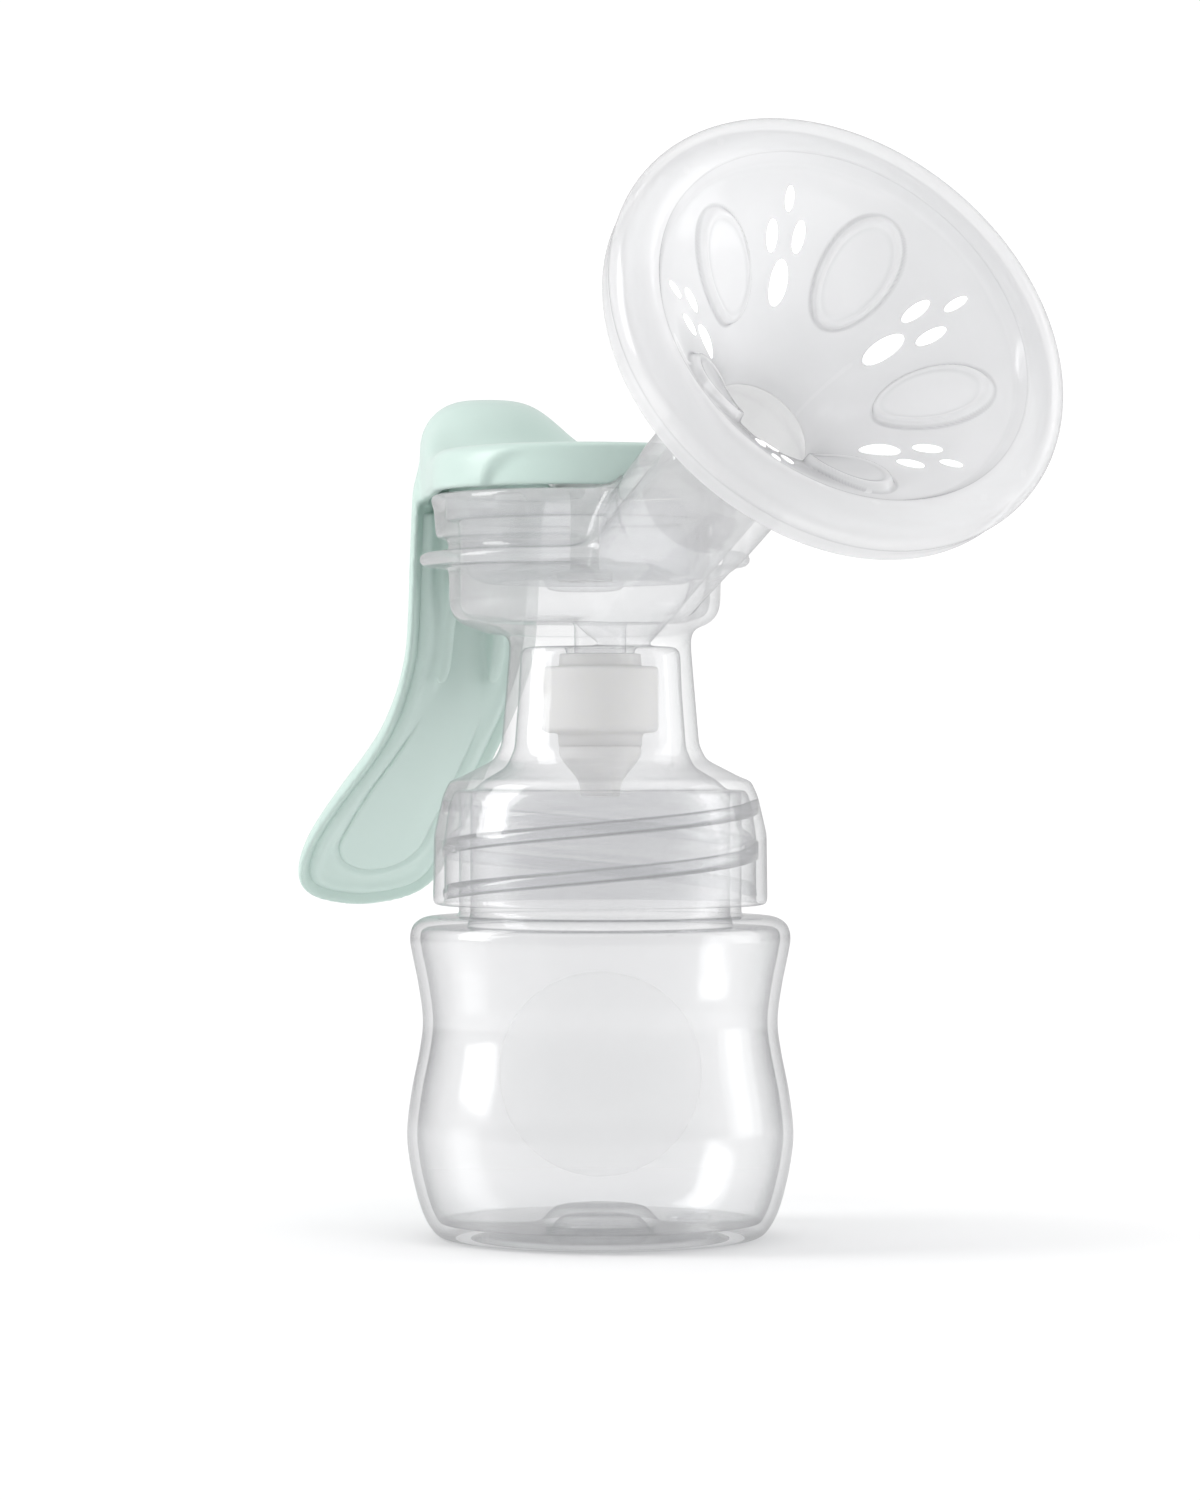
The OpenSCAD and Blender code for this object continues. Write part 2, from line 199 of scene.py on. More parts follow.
def rounded(rows, steps):
    """Polygon with rounded corners, from rows of (first, second, corner radius)."""
    rows = np.array(rows, float)
    points, radii = rows[:, :2], rows[:, 2]
    result = []
    for i, corner in enumerate(points):
        back, ahead = points[i - 1] - corner, points[(i + 1) % len(points)] - corner
        back_length, ahead_length = np.linalg.norm(back), np.linalg.norm(ahead)
        if radii[i] <= 0 or back_length < 1e-9 or ahead_length < 1e-9:
            result.append(corner)
            continue
        back, ahead = back / back_length, ahead / ahead_length
        half_angle = math.acos(np.clip(back @ ahead, -1, 1)) / 2
        if half_angle > math.pi / 2 - 0.03:
            result.append(corner)
            continue
        trim = min(radii[i] / math.tan(half_angle), 0.49 * back_length, 0.49 * ahead_length)
        start, end = corner + back * trim, corner + ahead * trim
        for k in range(steps + 1):
            part = k / steps
            result.append((1 - part) ** 2 * start + 2 * part * (1 - part) * corner
                          + part * part * end)
    return np.array(result)


def densify(profile, step, closed=True):
    """Split every side into pieces no longer than step."""
    result = []
    count = len(profile)
    for i in range(count if closed else count - 1):
        start, end = profile[i], profile[(i + 1) % count]
        pieces = max(1, int(math.ceil(np.linalg.norm(end - start) / step)))
        for k in range(pieces):
            result.append(start + (end - start) * k / pieces)
    if not closed:
        result.append(profile[-1])
    return np.array(result)


def drop_close(profile, gap):
    """Leave out points that lie within gap of the last one kept."""
    kept = [profile[0]]
    for point in profile[1:]:
        if np.linalg.norm(point - kept[-1]) > gap:
            kept.append(point)
    return np.array(kept)


# ------------------------------------------------------------------ meshes
CORNERS = [(i, j, k) for i in (0, 1) for j in (0, 1) for k in (0, 1)]


def link_mesh(name, mesh):
    mesh.polygons.foreach_set("use_smooth", np.ones(len(mesh.polygons), bool))
    piece = bpy.data.objects.new(name, mesh)
    bpy.context.scene.collection.objects.link(piece)
    return piece


def list_mesh(name, points, faces, face_outward=True):
    """Smooth object from points in mm and faces of any size."""
    mesh = bpy.data.meshes.new(name)
    mesh.from_pydata([tuple(np.array(point) * MM) for point in points], [], faces)
    mesh.validate()
    mesh.update()
    piece = link_mesh(name, mesh)
    if face_outward:
        work = bmesh.new()
        work.from_mesh(mesh)
        bmesh.ops.recalc_face_normals(work, faces=work.faces)
        work.to_mesh(mesh)
        work.free()
    return piece


def band_faces(first, second, count):
    """Quads between two closed rings of count points that start at first and second."""
    return [[first + i, second + i, second + (i + 1) % count, first + (i + 1) % count]
            for i in range(count)]


def disc_faces(centre, rings, count):
    """Fan round the centre point, then quads between the rings that follow it."""
    first = centre + 1
    faces = [[centre, first + i, first + (i + 1) % count] for i in range(count)]
    for ring in range(rings - 1):
        start = first + ring * count
        faces += band_faces(start, start + count, count)
    return faces


def blur_volume(values):
    for axis in range(3):
        result = values.copy()
        below, middle, above = [slice(None)] * 3, [slice(None)] * 3, [slice(None)] * 3
        below[axis], middle[axis], above[axis] = slice(0, -2), slice(1, -1), slice(2, None)
        result[tuple(middle)] = (0.25 * values[tuple(below)] + 0.5 * values[tuple(middle)]
                                 + 0.25 * values[tuple(above)])
        values = result
    return values


def sample_field(distance, low, high, step):
    """Field values on a regular grid; only blocks near the surface are sampled in full."""
    block = 12      # cells along a block
    batch = 220     # blocks sampled at a time
    blocks = np.ceil((high - low) / (step * block)).astype(int)
    centres = [low[i] + step * (block * np.arange(blocks[i]) + (block - 1) / 2)
               for i in range(3)]
    coarse = distance(*[axis.ravel() for axis in np.meshgrid(*centres, indexing="ij")])
    coarse = coarse.reshape(blocks)
    near = np.abs(coarse) < 1.35 * (block * 0.5 * math.sqrt(3) * step + 2 * step)
    clip = 3.0 * step
    values = np.where(coarse > 0, clip, -clip).astype(F32)
    for axis in range(3):
        values = np.repeat(values, block, axis)
    offsets = np.arange(block) * step
    local = [axis.ravel() for axis in np.meshgrid(offsets, offsets, offsets, indexing="ij")]
    near_blocks = np.argwhere(near)
    for start in range(0, len(near_blocks), batch):
        chosen = near_blocks[start:start + batch]
        base = low + chosen * block * step
        fine = distance(*[(base[:, i:i + 1] + local[i]).ravel() for i in range(3)])
        fine = np.clip(fine, -clip, clip).astype(F32).reshape(len(chosen), block, block, block)
        for (i, j, k), part in zip(chosen * block, fine):
            values[i:i + block, j:j + block, k:k + block] = part
    return blur_volume(values)


def field_mesh(name, distance, low, high, step):
    """Closed quad mesh of distance(x, y, z) = 0, by surface nets."""
    low, high = np.array(low, float), np.array(high, float)
    values = sample_field(distance, low, high, step)
    inside = values < 0
    cells = np.array(values.shape) - 1

    # one vertex in every cell that the surface crosses
    count = np.zeros(tuple(cells), np.uint8)
    for i, j, k in CORNERS:
        count += inside[i:cells[0] + i, j:cells[1] + j, k:cells[2] + k]
    active = np.argwhere((count > 0) & (count < 8))
    vertex_ids = np.full(tuple(cells), -1, np.int32)
    vertex_ids[tuple(active.T)] = np.arange(len(active))
    at_corner = {corner: values[tuple((active + corner).T)] for corner in CORNERS}
    total = np.zeros((len(active), 3))
    crossings = np.zeros(len(active))
    for corner in CORNERS:
        for axis in range(3):
            if corner[axis]:
                continue
            other = corner[:axis] + (1,) + corner[axis + 1:]
            here, there = at_corner[corner], at_corner[other]
            crosses = (here < 0) != (there < 0)
            point = np.tile(np.array(corner, float), (len(active), 1))
            point[:, axis] = np.where(crosses, here / np.where(crosses, here - there, 1), 0)
            total[crosses] += point[crosses]
            crossings[crosses] += 1
    points = low + (active + total / crossings[:, None]) * step

    # one quad round every grid edge that the surface crosses
    quads = []
    for axis in range(3):
        second, third = (axis + 1) % 3, (axis + 2) % 3
        start, end = [slice(1, -1)] * 3, [slice(1, -1)] * 3
        start[axis], end[axis] = slice(0, -1), slice(1, None)
        start_inside = inside[tuple(start)]
        edges = np.argwhere(start_inside != inside[tuple(end)])
        outward = start_inside[tuple(edges.T)]
        edges = edges + 1
        edges[:, axis] -= 1
        quad = np.zeros((len(edges), 4), np.int32)
        for i, (shift_second, shift_third) in enumerate(((0, 0), (-1, 0), (-1, -1), (0, -1))):
            cell = edges.copy()
            cell[:, second] += shift_second
            cell[:, third] += shift_third
            quad[:, i] = vertex_ids[tuple(cell.T)]
        quad[~outward] = quad[~outward][:, ::-1]
        quads.append(quad)
    quads = np.concatenate(quads)
    quads = quads[(quads >= 0).all(1)]

    mesh = bpy.data.meshes.new(name)
    mesh.vertices.add(len(points))
    mesh.vertices.foreach_set("co", (points * MM).astype(F32).ravel())
    mesh.loops.add(quads.size)
    mesh.loops.foreach_set("vertex_index", quads.astype(np.int32).ravel())
    mesh.polygons.add(len(quads))
    mesh.polygons.foreach_set("loop_start", (np.arange(len(quads)) * 4).astype(np.int32))
    mesh.polygons.foreach_set("loop_total", np.full(len(quads), 4, np.int32))
    mesh.update(calc_edges=True)
    mesh.validate()
    return link_mesh(name, mesh)


def lathe(name, profile, segments, displace=None, place=None, closed=True):
    """Turn a profile of (radius, z) points about z.

    displace(radius, z, angle) gives offsets in radius and z. place maps the finished points.
    """
    profile = np.array(profile, float)
    rings = len(profile)
    radius = np.repeat(profile[:, 0:1], segments, 1)
    z = np.repeat(profile[:, 1:2], segments, 1)
    angle = np.repeat(np.linspace(0, 2 * math.pi, segments, endpoint=False)[None], rings, 0)
    if displace is not None:
        radius_shift, z_shift = displace(radius, z, angle)
        radius, z = radius + radius_shift, z + z_shift
    points = np.stack([radius * np.cos(angle), radius * np.sin(angle), z], -1).reshape(-1, 3)
    if place is not None:
        points = place(points)
    here = np.arange(segments)
    beside = (here + 1) % segments
    faces = []
    for ring in range(rings if closed else rings - 1):
        start, end = ring * segments, (ring + 1) % rings * segments
        faces.append(np.stack([start + here, start + beside, end + beside, end + here], -1))
    # points on the axis share one vertex
    merged = np.arange(len(points))
    for ring in np.where(np.abs(profile[:, 0]) < 1e-6)[0]:
        merged[ring * segments:(ring + 1) * segments] = ring * segments
    used, faces = np.unique(merged[np.concatenate(faces)], return_inverse=True)
    faces = [list(dict.fromkeys(face)) for face in faces.reshape(-1, 4).tolist()]
    return list_mesh(name, points[used], [face for face in faces if len(face) >= 3])


def funnel_place(points):
    """From local points, z along the funnel axis and z = 0 in the rim plane, to the scene."""
    return (RIM_CENTRE + points[:, 0:1] * RIM_UP + points[:, 1:2] * np.array([0.0, 1.0, 0.0])
            + points[:, 2:3] * FUNNEL_AXIS)


def funnel_coords(x, y, z):
    """Distance along the funnel axis from the rim, and radius about that axis."""
    from_x, from_z = x - RIM_CENTRE[0], z - RIM_CENTRE[2]
    along = from_x * FUNNEL_AXIS[0] + from_z * FUNNEL_AXIS[2]
    upward = from_x * RIM_UP[0] + from_z * RIM_UP[2]
    return along, np.hypot(upward, y)


def dress(piece, material, body, slot, *nodes):
    piece.data.materials.clear()
    piece.data.materials.append(material)
    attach(piece, body)
    if nodes:
        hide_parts(*nodes)


# ------------------------------------------------------------------ shader helpers
WHITE = (1, 1, 1)


def darker(color, factor):
    return tuple(channel * factor for channel in color)


class Shader:
    """Makes and wires the nodes of one tree. Inputs take a value or another node's output."""

    def __init__(self, tree):
        self.tree = tree
        tree.nodes.clear()

    def put(self, socket, value):
        if hasattr(value, "is_output"):
            self.tree.links.new(value, socket)
        elif socket.type == "RGBA":
            socket.default_value = (*value, 1)
        else:
            socket.default_value = value

    def node(self, kind, inputs=None, **settings):
        node = self.tree.nodes.new("ShaderNode" + kind)
        for name, value in settings.items():
            setattr(node, name, value)
        for name, value in (inputs or {}).items():
            self.put(node.inputs[name], value)
        return node

    def shade(self, kind, **inputs):
        return self.node(kind, inputs).outputs[0]

    def source(self, kind, output):
        return self.node(kind).outputs[output]

    def math(self, operation, first, second=0.0, third=None, clamp=False):
        inputs = {0: first, 1: second}
        if third is not None:
            inputs[2] = third
        return self.node("Math", inputs, operation=operation, use_clamp=clamp).outputs[0]

    def scaled(self, value, by, plus=None, clamp=False):
        operation = "MULTIPLY" if plus is None else "MULTIPLY_ADD"
        return self.math(operation, value, by, plus, clamp)

    def power(self, value, exponent, clamp=True):
        return self.math("POWER", value, exponent, clamp=clamp)

    def vector(self, operation, first, second=None):
        inputs = {0: first}
        if second is not None:
            inputs[1] = second
        output = "Value" if operation in ("DOT_PRODUCT", "LENGTH") else "Vector"
        return self.node("VectorMath", inputs, operation=operation).outputs[output]

    def remap(self, value, start, end, low=0.0, high=1.0):
        """Smooth step from low to high as the value goes from start to end."""
        inputs = {"Value": value, "From Min": start, "From Max": end,
                  "To Min": low, "To Max": high}
        return self.node("MapRange", inputs, interpolation_type="SMOOTHSTEP").outputs[0]

    def mix_color(self, share, first, second):
        node = self.node("Mix", data_type="RGBA")
        self.put(node.inputs["Factor"], share)
        for name, value in (("A", first), ("B", second)):
            socket = [s for s in node.inputs if s.name == name and s.type == "RGBA"][0]
            self.put(socket, value)
        return [s for s in node.outputs if s.type == "RGBA"][0]

    def mix_shader(self, share, first, second):
        return self.node("MixShader", {0: share, 1: first, 2: second}).outputs[0]

    def noise(self, coords, scale, detail=2.0, roughness=0.5):
        inputs = {"Scale": scale, "Detail": detail, "Roughness": roughness, "Vector": coords}
        return self.node("TexNoise", inputs).outputs["Fac"]

    def coords(self):
        return self.source("TexCoord", "Object")

    def height(self, coords):
        return self.node("SeparateXYZ", {0: coords}).outputs["Z"]

    def facing(self):
        """0 where the surface faces the viewer, 1 at its silhouette."""
        return self.node("LayerWeight", {"Blend": 0.5}).outputs["Facing"]

    def folds(self, strength):
        """How strongly a spot is an inner and an outer corner."""
        point = self.source("NewGeometry", "Pointiness")
        return [self.scaled(self.math("SUBTRACT", *pair), by=strength, clamp=True)
                for pair in ((0.5, point), (point, 0.5))]

    def bump(self, height, strength, distance, normal=None):
        inputs = {"Strength": strength, "Distance": distance, "Height": height}
        if normal is not None:
            inputs["Normal"] = normal
        return self.node("Bump", inputs).outputs[0]

    def reflection(self, facing, head_on, edge_gain, gloss):
        """Schlick reflection, the same from both sides of a wall."""
        fresnel = self.scaled(self.power(facing, 5.0, clamp=False), by=edge_gain, plus=head_on)
        return self.scaled(fresnel, by=gloss, clamp=True)

    def finish(self, surface):
        self.node("OutputMaterial", {"Surface": surface})


def new_material(name):
    material = bpy.data.materials.new(name)
    material.use_nodes = True
    return material, Shader(material.node_tree)


# ------------------------------------------------------------------ materials
def bore_mask(sh, coords, bore):
    """1 inside a cylinder given by point, axis, radius, start and end; 0 elsewhere."""
    offset = sh.vector("SUBTRACT", coords, bore["point"])
    along = sh.vector("DOT_PRODUCT", offset, bore["axis"])
    length = sh.vector("LENGTH", offset)
    square = sh.math("SUBTRACT", sh.math("MULTIPLY", length, length),
                     sh.math("MULTIPLY", along, along))
    radius = sh.math("SQRT", sh.math("MAXIMUM", square, 0.0))
    in_length = sh.math("MULTIPLY", sh.math("GREATER_THAN", along, bore["start"]),
                        sh.math("LESS_THAN", along, bore["end"]))
    return sh.math("MULTIPLY", sh.math("LESS_THAN", radius, bore["radius"]), in_length)


def clear_plastic(name, edge, edge_power, haze, haze_edge, crease, far_fade,
                  tint=(0.985, 0.987, 0.99), core=(0.93, 0.932, 0.936),
                  shade=(0.80, 0.80, 0.81), roughness=0.04, flow_bump=0.10, gather=0.5,
                  core_top=None, quiet=None, bore=None, zones=()):
    """Clear moulded plastic: light passes straight through, greyer towards the edges.

    tint, core, edge: colours of the walls near the sides, face-on and at the silhouette
    haze, haze_edge: milkiness everywhere and what the silhouette adds
    crease: how strongly folds show; far_fade: how much the far wall fades
    gather: share of the milkiness that glows to the camera, painted light standing in for
    scattered light
    core_top: heights over which the core tint gives way to the plain tint
    quiet: heights over which the wall's sides start to show less, and how much
    bore: cylinder that gathers shade; zones: places where the wall turns milkier
    """
    material, sh = new_material(name)
    facing = sh.facing()
    coords = sh.coords()
    flow = sh.noise(coords, scale=22)
    micro = sh.noise(coords, scale=900, roughness=0.6)
    edge_share = sh.power(facing, edge_power)
    # painted shade: seen face-on the walls are tinted a little greyer than near their sides
    lift = sh.remap(facing, start=0.02, end=0.42)
    if core_top:
        lift = sh.math("MAXIMUM", lift, sh.remap(sh.height(coords), **core_top))
    plain = sh.mix_color(lift, core, tint)
    color = sh.mix_color(edge_share, plain, edge)
    # folds and steps bend the light: inner corners look darker, outer ones lighter
    inner, outer = sh.folds(crease)
    color = sh.mix_color(inner, color, darker(tint, 0.62))
    # the far wall, seen through the near one, shows only faintly
    sideways = sh.vector("NORMALIZE", sh.vector("MULTIPLY", coords, (1, 1, 0)))
    to_viewer = sh.vector("DOT_PRODUCT", sideways, sh.source("NewGeometry", "Incoming"))
    far = sh.remap(to_viewer, start=-0.30, end=0.02, low=far_fade, high=0.0)
    color = sh.mix_color(far, color, plain)
    if quiet:
        color = sh.mix_color(sh.remap(sh.height(coords), **quiet), color, plain)
    # painted shade down the inside of the feed tube's bore
    if bore:
        color = sh.mix_color(bore_mask(sh, coords, bore), color, (bore["shade"],) * 3)
    # faint unevenness of the moulding's wall
    scale = sh.scaled(flow, by=0.03, plus=0.985)
    uneven = sh.node("VectorMath", {0: color, "Scale": scale}, operation="SCALE").outputs[0]
    through = sh.shade("BsdfTransparent", Color=uneven)

    normal = sh.bump(flow, strength=flow_bump, distance=0.0006)
    normal = sh.bump(micro, strength=0.04, distance=0.00003, normal=normal)
    skin = sh.shade("BsdfGlossy", Color=WHITE, Normal=normal,
                    Roughness=sh.scaled(flow, by=0.05, plus=roughness))
    milk = sh.mix_shader(0.5, sh.shade("BsdfDiffuse", Color=shade),
                         sh.shade("BsdfTranslucent", Color=shade))
    # painted light: the milky part also glows to the camera, standing in for light it scatters
    # from the bright surroundings
    painted_glow = sh.shade("Emission", Color=(0.90, 0.90, 0.91))
    camera_ray = sh.source("LightPath", "Is Camera Ray")
    milk = sh.mix_shader(sh.scaled(camera_ray, by=gather), milk, painted_glow)
    haze_share = sh.scaled(edge_share, by=haze_edge, plus=haze)
    # painted highlight: outer corners turn milkier and so lighter
    haze_share = sh.scaled(outer, by=0.30, plus=haze_share, clamp=True)
    for zone in zones:
        offset = sh.vector("SUBTRACT", coords, zone["point"])
        along = sh.vector("DOT_PRODUCT", offset, zone["axis"])
        extra = sh.remap(along, start=0.0, end=zone["end"], high=zone["extra"])
        haze_share = sh.math("ADD", haze_share, extra, clamp=True)
    surface = sh.mix_shader(haze_share, through, milk)
    shine = sh.reflection(facing, head_on=0.045, edge_gain=0.75, gloss=1.0)
    sh.finish(sh.mix_shader(shine, surface, skin))
    material.use_transparent_shadow = True
    return material


def milky_silicone(name, opacity, edge=0.75, base=(0.93, 0.93, 0.935), roughness=0.26,
                   gloss=0.8, crease=0.0):
    """Milky silicone: part see-through, part scattering, with a soft sheen.

    edge: share of the clear remainder that turns milky at the silhouette
    """
    material, sh = new_material(name)
    coords = sh.coords()
    facing = sh.facing()
    cloud = sh.noise(coords, scale=60, detail=3.0)
    color = sh.mix_color(cloud, darker(base, 0.965), base)
    color = sh.mix_color(sh.power(facing, 6.0), color, (0.50, 0.50, 0.51))
    # painted shade in inner folds and a painted highlight on outer ones
    if crease:
        inner, outer = sh.folds(crease)
        color = sh.mix_color(sh.scaled(inner, by=0.9), color, (0.40, 0.40, 0.41))
        color = sh.mix_color(sh.scaled(outer, by=0.7), color, WHITE)
    micro = sh.noise(coords, scale=1500)
    normal = sh.bump(micro, strength=0.2, distance=0.00003)
    through = sh.shade("BsdfTransparent", Color=(0.97, 0.97, 0.975))
    milk = sh.mix_shader(0.45, sh.shade("BsdfDiffuse", Color=color, Normal=normal),
                         sh.shade("BsdfTranslucent", Color=color))
    milk_share = sh.scaled(sh.power(facing, 2.0), by=edge * (1 - opacity), plus=opacity,
                           clamp=True)
    surface = sh.mix_shader(milk_share, through, milk)
    skin = sh.shade("BsdfGlossy", Normal=normal,
                    Roughness=sh.scaled(cloud, by=0.08, plus=roughness - 0.04))
    shine = sh.reflection(facing, head_on=0.035, edge_gain=0.7, gloss=gloss)
    sh.finish(sh.mix_shader(shine, surface, skin))
    material.use_transparent_shadow = True
    return material


def opaque_plastic(name, base, roughness, scatter=0.0, coat=0.0, grain=0.25, painted_glow=0.0,
                   veil=0.0):
    """Moulded plastic with a faint satin grain and slight flow variation.

    scatter: subsurface weight; veil: how much it vanishes behind several clear walls
    """
    material, sh = new_material(name)
    coords = sh.coords()
    cloud = sh.noise(coords, scale=35, detail=3.0, roughness=0.55)
    dark = darker(base, 0.96)
    color = sh.mix_color(sh.scaled(cloud, by=1.6, plus=-0.3, clamp=True), dark, base)
    # tight creases gather a little shade
    occlusion = sh.node("AmbientOcclusion", {"Distance": 0.004}, samples=4).outputs["AO"]
    openness = sh.scaled(occlusion, by=1.15, plus=-0.15, clamp=True)
    color = sh.mix_color(openness, darker(dark, 0.92), color)
    micro = sh.noise(coords, scale=1800)
    inputs = {
        "Base Color": color,
        "Roughness": sh.scaled(cloud, by=0.08, plus=roughness - 0.04),
        "Normal": sh.bump(micro, strength=grain, distance=0.00004),
        "IOR": 1.48,
        "Specular IOR Level": 0.5,
    }
    if scatter:
        inputs["Subsurface Weight"] = scatter
        inputs["Subsurface Radius"] = (0.0025, 0.0025, 0.0022)
        inputs["Subsurface Scale"] = 1.0
    # painted light: the surface glows a little though it is no lamp
    if painted_glow:
        inputs["Emission Color"] = WHITE
        inputs["Emission Strength"] = painted_glow
    if coat:
        inputs["Coat Weight"] = coat
        inputs["Coat Roughness"] = 0.12
    surface = sh.node("BsdfPrincipled", inputs).outputs[0]
    if veil:
        # thick clear walls bend what stands behind them out of sight
        path = sh.node("LightPath")
        deep = sh.math("GREATER_THAN", path.outputs["Transparent Depth"], 1.5)
        seen_deep = sh.math("MULTIPLY", deep, path.outputs["Is Camera Ray"])
        surface = sh.mix_shader(sh.scaled(seen_deep, by=veil), surface,
                                sh.shade("BsdfTransparent"))
    sh.finish(surface)
    return material


def print_frost():
    """Thin frosted print."""
    material, sh = new_material("print_frost")
    frost = sh.noise(sh.coords(), scale=2500)
    white = (0.95, 0.95, 0.95)
    body = sh.mix_shader(0.55, sh.shade("BsdfDiffuse", Color=white),
                         sh.shade("BsdfTranslucent", Color=white))
    sh.finish(sh.mix_shader(sh.scaled(frost, by=0.05, plus=0.07),
                            sh.shade("BsdfTransparent"), body))
    return material


def floats(vector, scale=1.0):
    return tuple(float(part) * scale for part in vector)


CLEAR_BOTTLE = clear_plastic(
    "clear_bottle", tint=(0.972, 0.973, 0.975), core=(0.938, 0.939, 0.942),
    edge=(0.05, 0.055, 0.07), edge_power=4.4, haze=0.025, haze_edge=0.12,
    shade=(0.88, 0.88, 0.89), roughness=0.10, crease=7.0, far_fade=0.6,
    quiet=dict(start=0.0575, end=0.0615, high=0.65))    # the neck, inside the collar
CLEAR_BODY = clear_plastic(
    "clear_body", tint=(0.982, 0.983, 0.985), core=(0.938, 0.939, 0.942),
    edge=(0.14, 0.145, 0.16), edge_power=4.6, haze=0.06, haze_edge=0.14,
    shade=(0.90, 0.90, 0.91), roughness=0.055, flow_bump=0.16, crease=8.0, far_fade=0.95,
    gather=0.65, core_top=dict(start=0.098, end=0.107),
    zones=[dict(point=(CUP_X * MM, 0, 0.104), axis=(0, 0, 1), end=0.006, extra=0.10),
           dict(point=floats(RIM_CENTRE - 76 * FUNNEL_AXIS, MM), axis=floats(FUNNEL_AXIS),
                end=0.014, extra=0.06)],
    bore=dict(point=floats(RIM_CENTRE, MM), axis=floats(FUNNEL_AXIS), radius=0.0108,
              start=-0.054, end=-0.0315, shade=0.70))
CLEAR_RIB = clear_plastic("clear_rib", edge=(0.30, 0.305, 0.315), edge_power=2.4, haze=0.02,
                          haze_edge=0.10, crease=0.0, far_fade=1.0)
MILKY_CUSHION = milky_silicone("milky_cushion", opacity=0.46, base=(0.97, 0.97, 0.972),
                               gloss=1.2, roughness=0.10, crease=16.0)
MILKY_DIAPHRAGM = milky_silicone("milky_diaphragm", opacity=0.10, edge=0.25)
# painted light: the printed dots glow a little so they read pure white
PRINT_WHITE = opaque_plastic("print_white", WHITE, roughness=0.5, grain=0.1, painted_glow=0.28)
WHITE_SILICONE = opaque_plastic("white_silicone", (0.90, 0.89, 0.87), roughness=0.42,
                                scatter=0.3)
WHITE_PLASTIC = opaque_plastic("white_plastic", (0.88, 0.88, 0.87), roughness=0.3)
GREEN_PLASTIC = opaque_plastic("green_plastic", (0.565, 0.70, 0.647), roughness=0.34,
                               coat=0.10, scatter=0.05, veil=0.72)
GREEN_LINER = opaque_plastic("green_liner", (0.60, 0.73, 0.68), roughness=0.36, scatter=0.05,
                             veil=0.72)

# ------------------------------------------------------------------ bottle
BOTTLE_WALL = 1.8
NECK_RADIUS = 25
# outside of the bottle, (radius, z)
BOTTLE_SIDE = [
    [25.6, 0.0], [28.4, 0.5], [30, 2], [31.4, 4.6], [32.6, 8.4], [33.7, 13.5], [34.2, 19],
    [33.4, 26], [32.02, 33], [31.4, 38.5], [32.1, 44.5], [33.3, 50.5], [33.65, 53.3],
    [33, 55.5], [31, 56.8], [28, 57.05]]
# underside from the axis outwards, (radius, z)
BOTTLE_UNDER = [
    [0, 4.3], [3.5, 4.25], [6.4, 3.9], [7.9, 2.9], [8.8, 1.7], [10.2, 1.1], [15, 0.95],
    [20, 0.8], [21.6, 0.35], [22.6, 0.02], [24.2, 0.0]]
# shoulder and neck, up the outside and down the inside, (radius, z, corner radius)
BOTTLE_NECK = [
    [28, 57.05, 0], [NECK_RADIUS, 57.1, 1.0], [NECK_RADIUS, 79, 0.6], [23, 79, 0.5],
    [23, 57.4, 0.9], [23.6, 55.2, 0.4], [27, 55.2, 0]]
# inside of the floor from the wall to the axis, (radius, z)
BOTTLE_FLOOR = [
    [24.6, 2.75], [20, 2.6], [13, 2.65], [11.0, 2.9], [9.9, 3.7], [8.8, 4.9], [7.3, 5.7],
    [4, 6.05], [0, 6.1]]


def neck_ridge(angle, z):
    """How far the neck's two-start thread stands out, 0 to 1."""
    top, first, last, fade, half_width = 76.3, -250, 0, 22, 2.2 * 0.42
    ridge = np.zeros_like(z)
    for start in (0, 180):
        for turn in (-1, 0, 1):
            degrees = np.degrees(angle) + start + 360 * turn
            offset = z - (top + THREAD_LEAD * degrees / 360)
            ends = (smoothstep(degrees, first, first + fade)
                    * (1 - smoothstep(degrees, last - fade, last)))
            ridge = np.maximum(ridge, np.exp(-(offset / half_width) ** 2) * ends)
    return ridge


def build_bottle():
    side = spline(BOTTLE_SIDE, 6)
    tangents = unit_tangents(side)
    inner = side + BOTTLE_WALL * np.stack([-tangents[:, 1], tangents[:, 0]], -1)
    inner = inner[(inner[:, 1] > 3.0) & (inner[:, 1] < 55.0)]
    profile = np.concatenate([spline(BOTTLE_UNDER, 4)[:-1], side, rounded(BOTTLE_NECK, 5)[1:],
                              inner[::-1], spline(BOTTLE_FLOOR, 4)])
    profile = densify(drop_close(profile, 0.12), 0.55, closed=False)
    profile[[0, -1], 0] = 0.0

    def thread(radius, z, angle):
        on_neck = (radius > NECK_RADIUS - 0.6) & (radius < NECK_RADIUS + 0.6) & (z > 58.4)
        return np.where(on_neck, 1.9 * neck_ridge(angle, z), 0.0), np.zeros_like(radius)

    piece = lathe("bottle_clear", profile, 320, thread, closed=False)
    dress(piece, CLEAR_BOTTLE, "bottle", "clear_bottle", "bottle")


# ------------------------------------------------------------------ pump body
BORE_RADIUS = 9.8       # inside of the feed tube
FUNNEL_BACK = -58       # where the funnel ends behind its rim

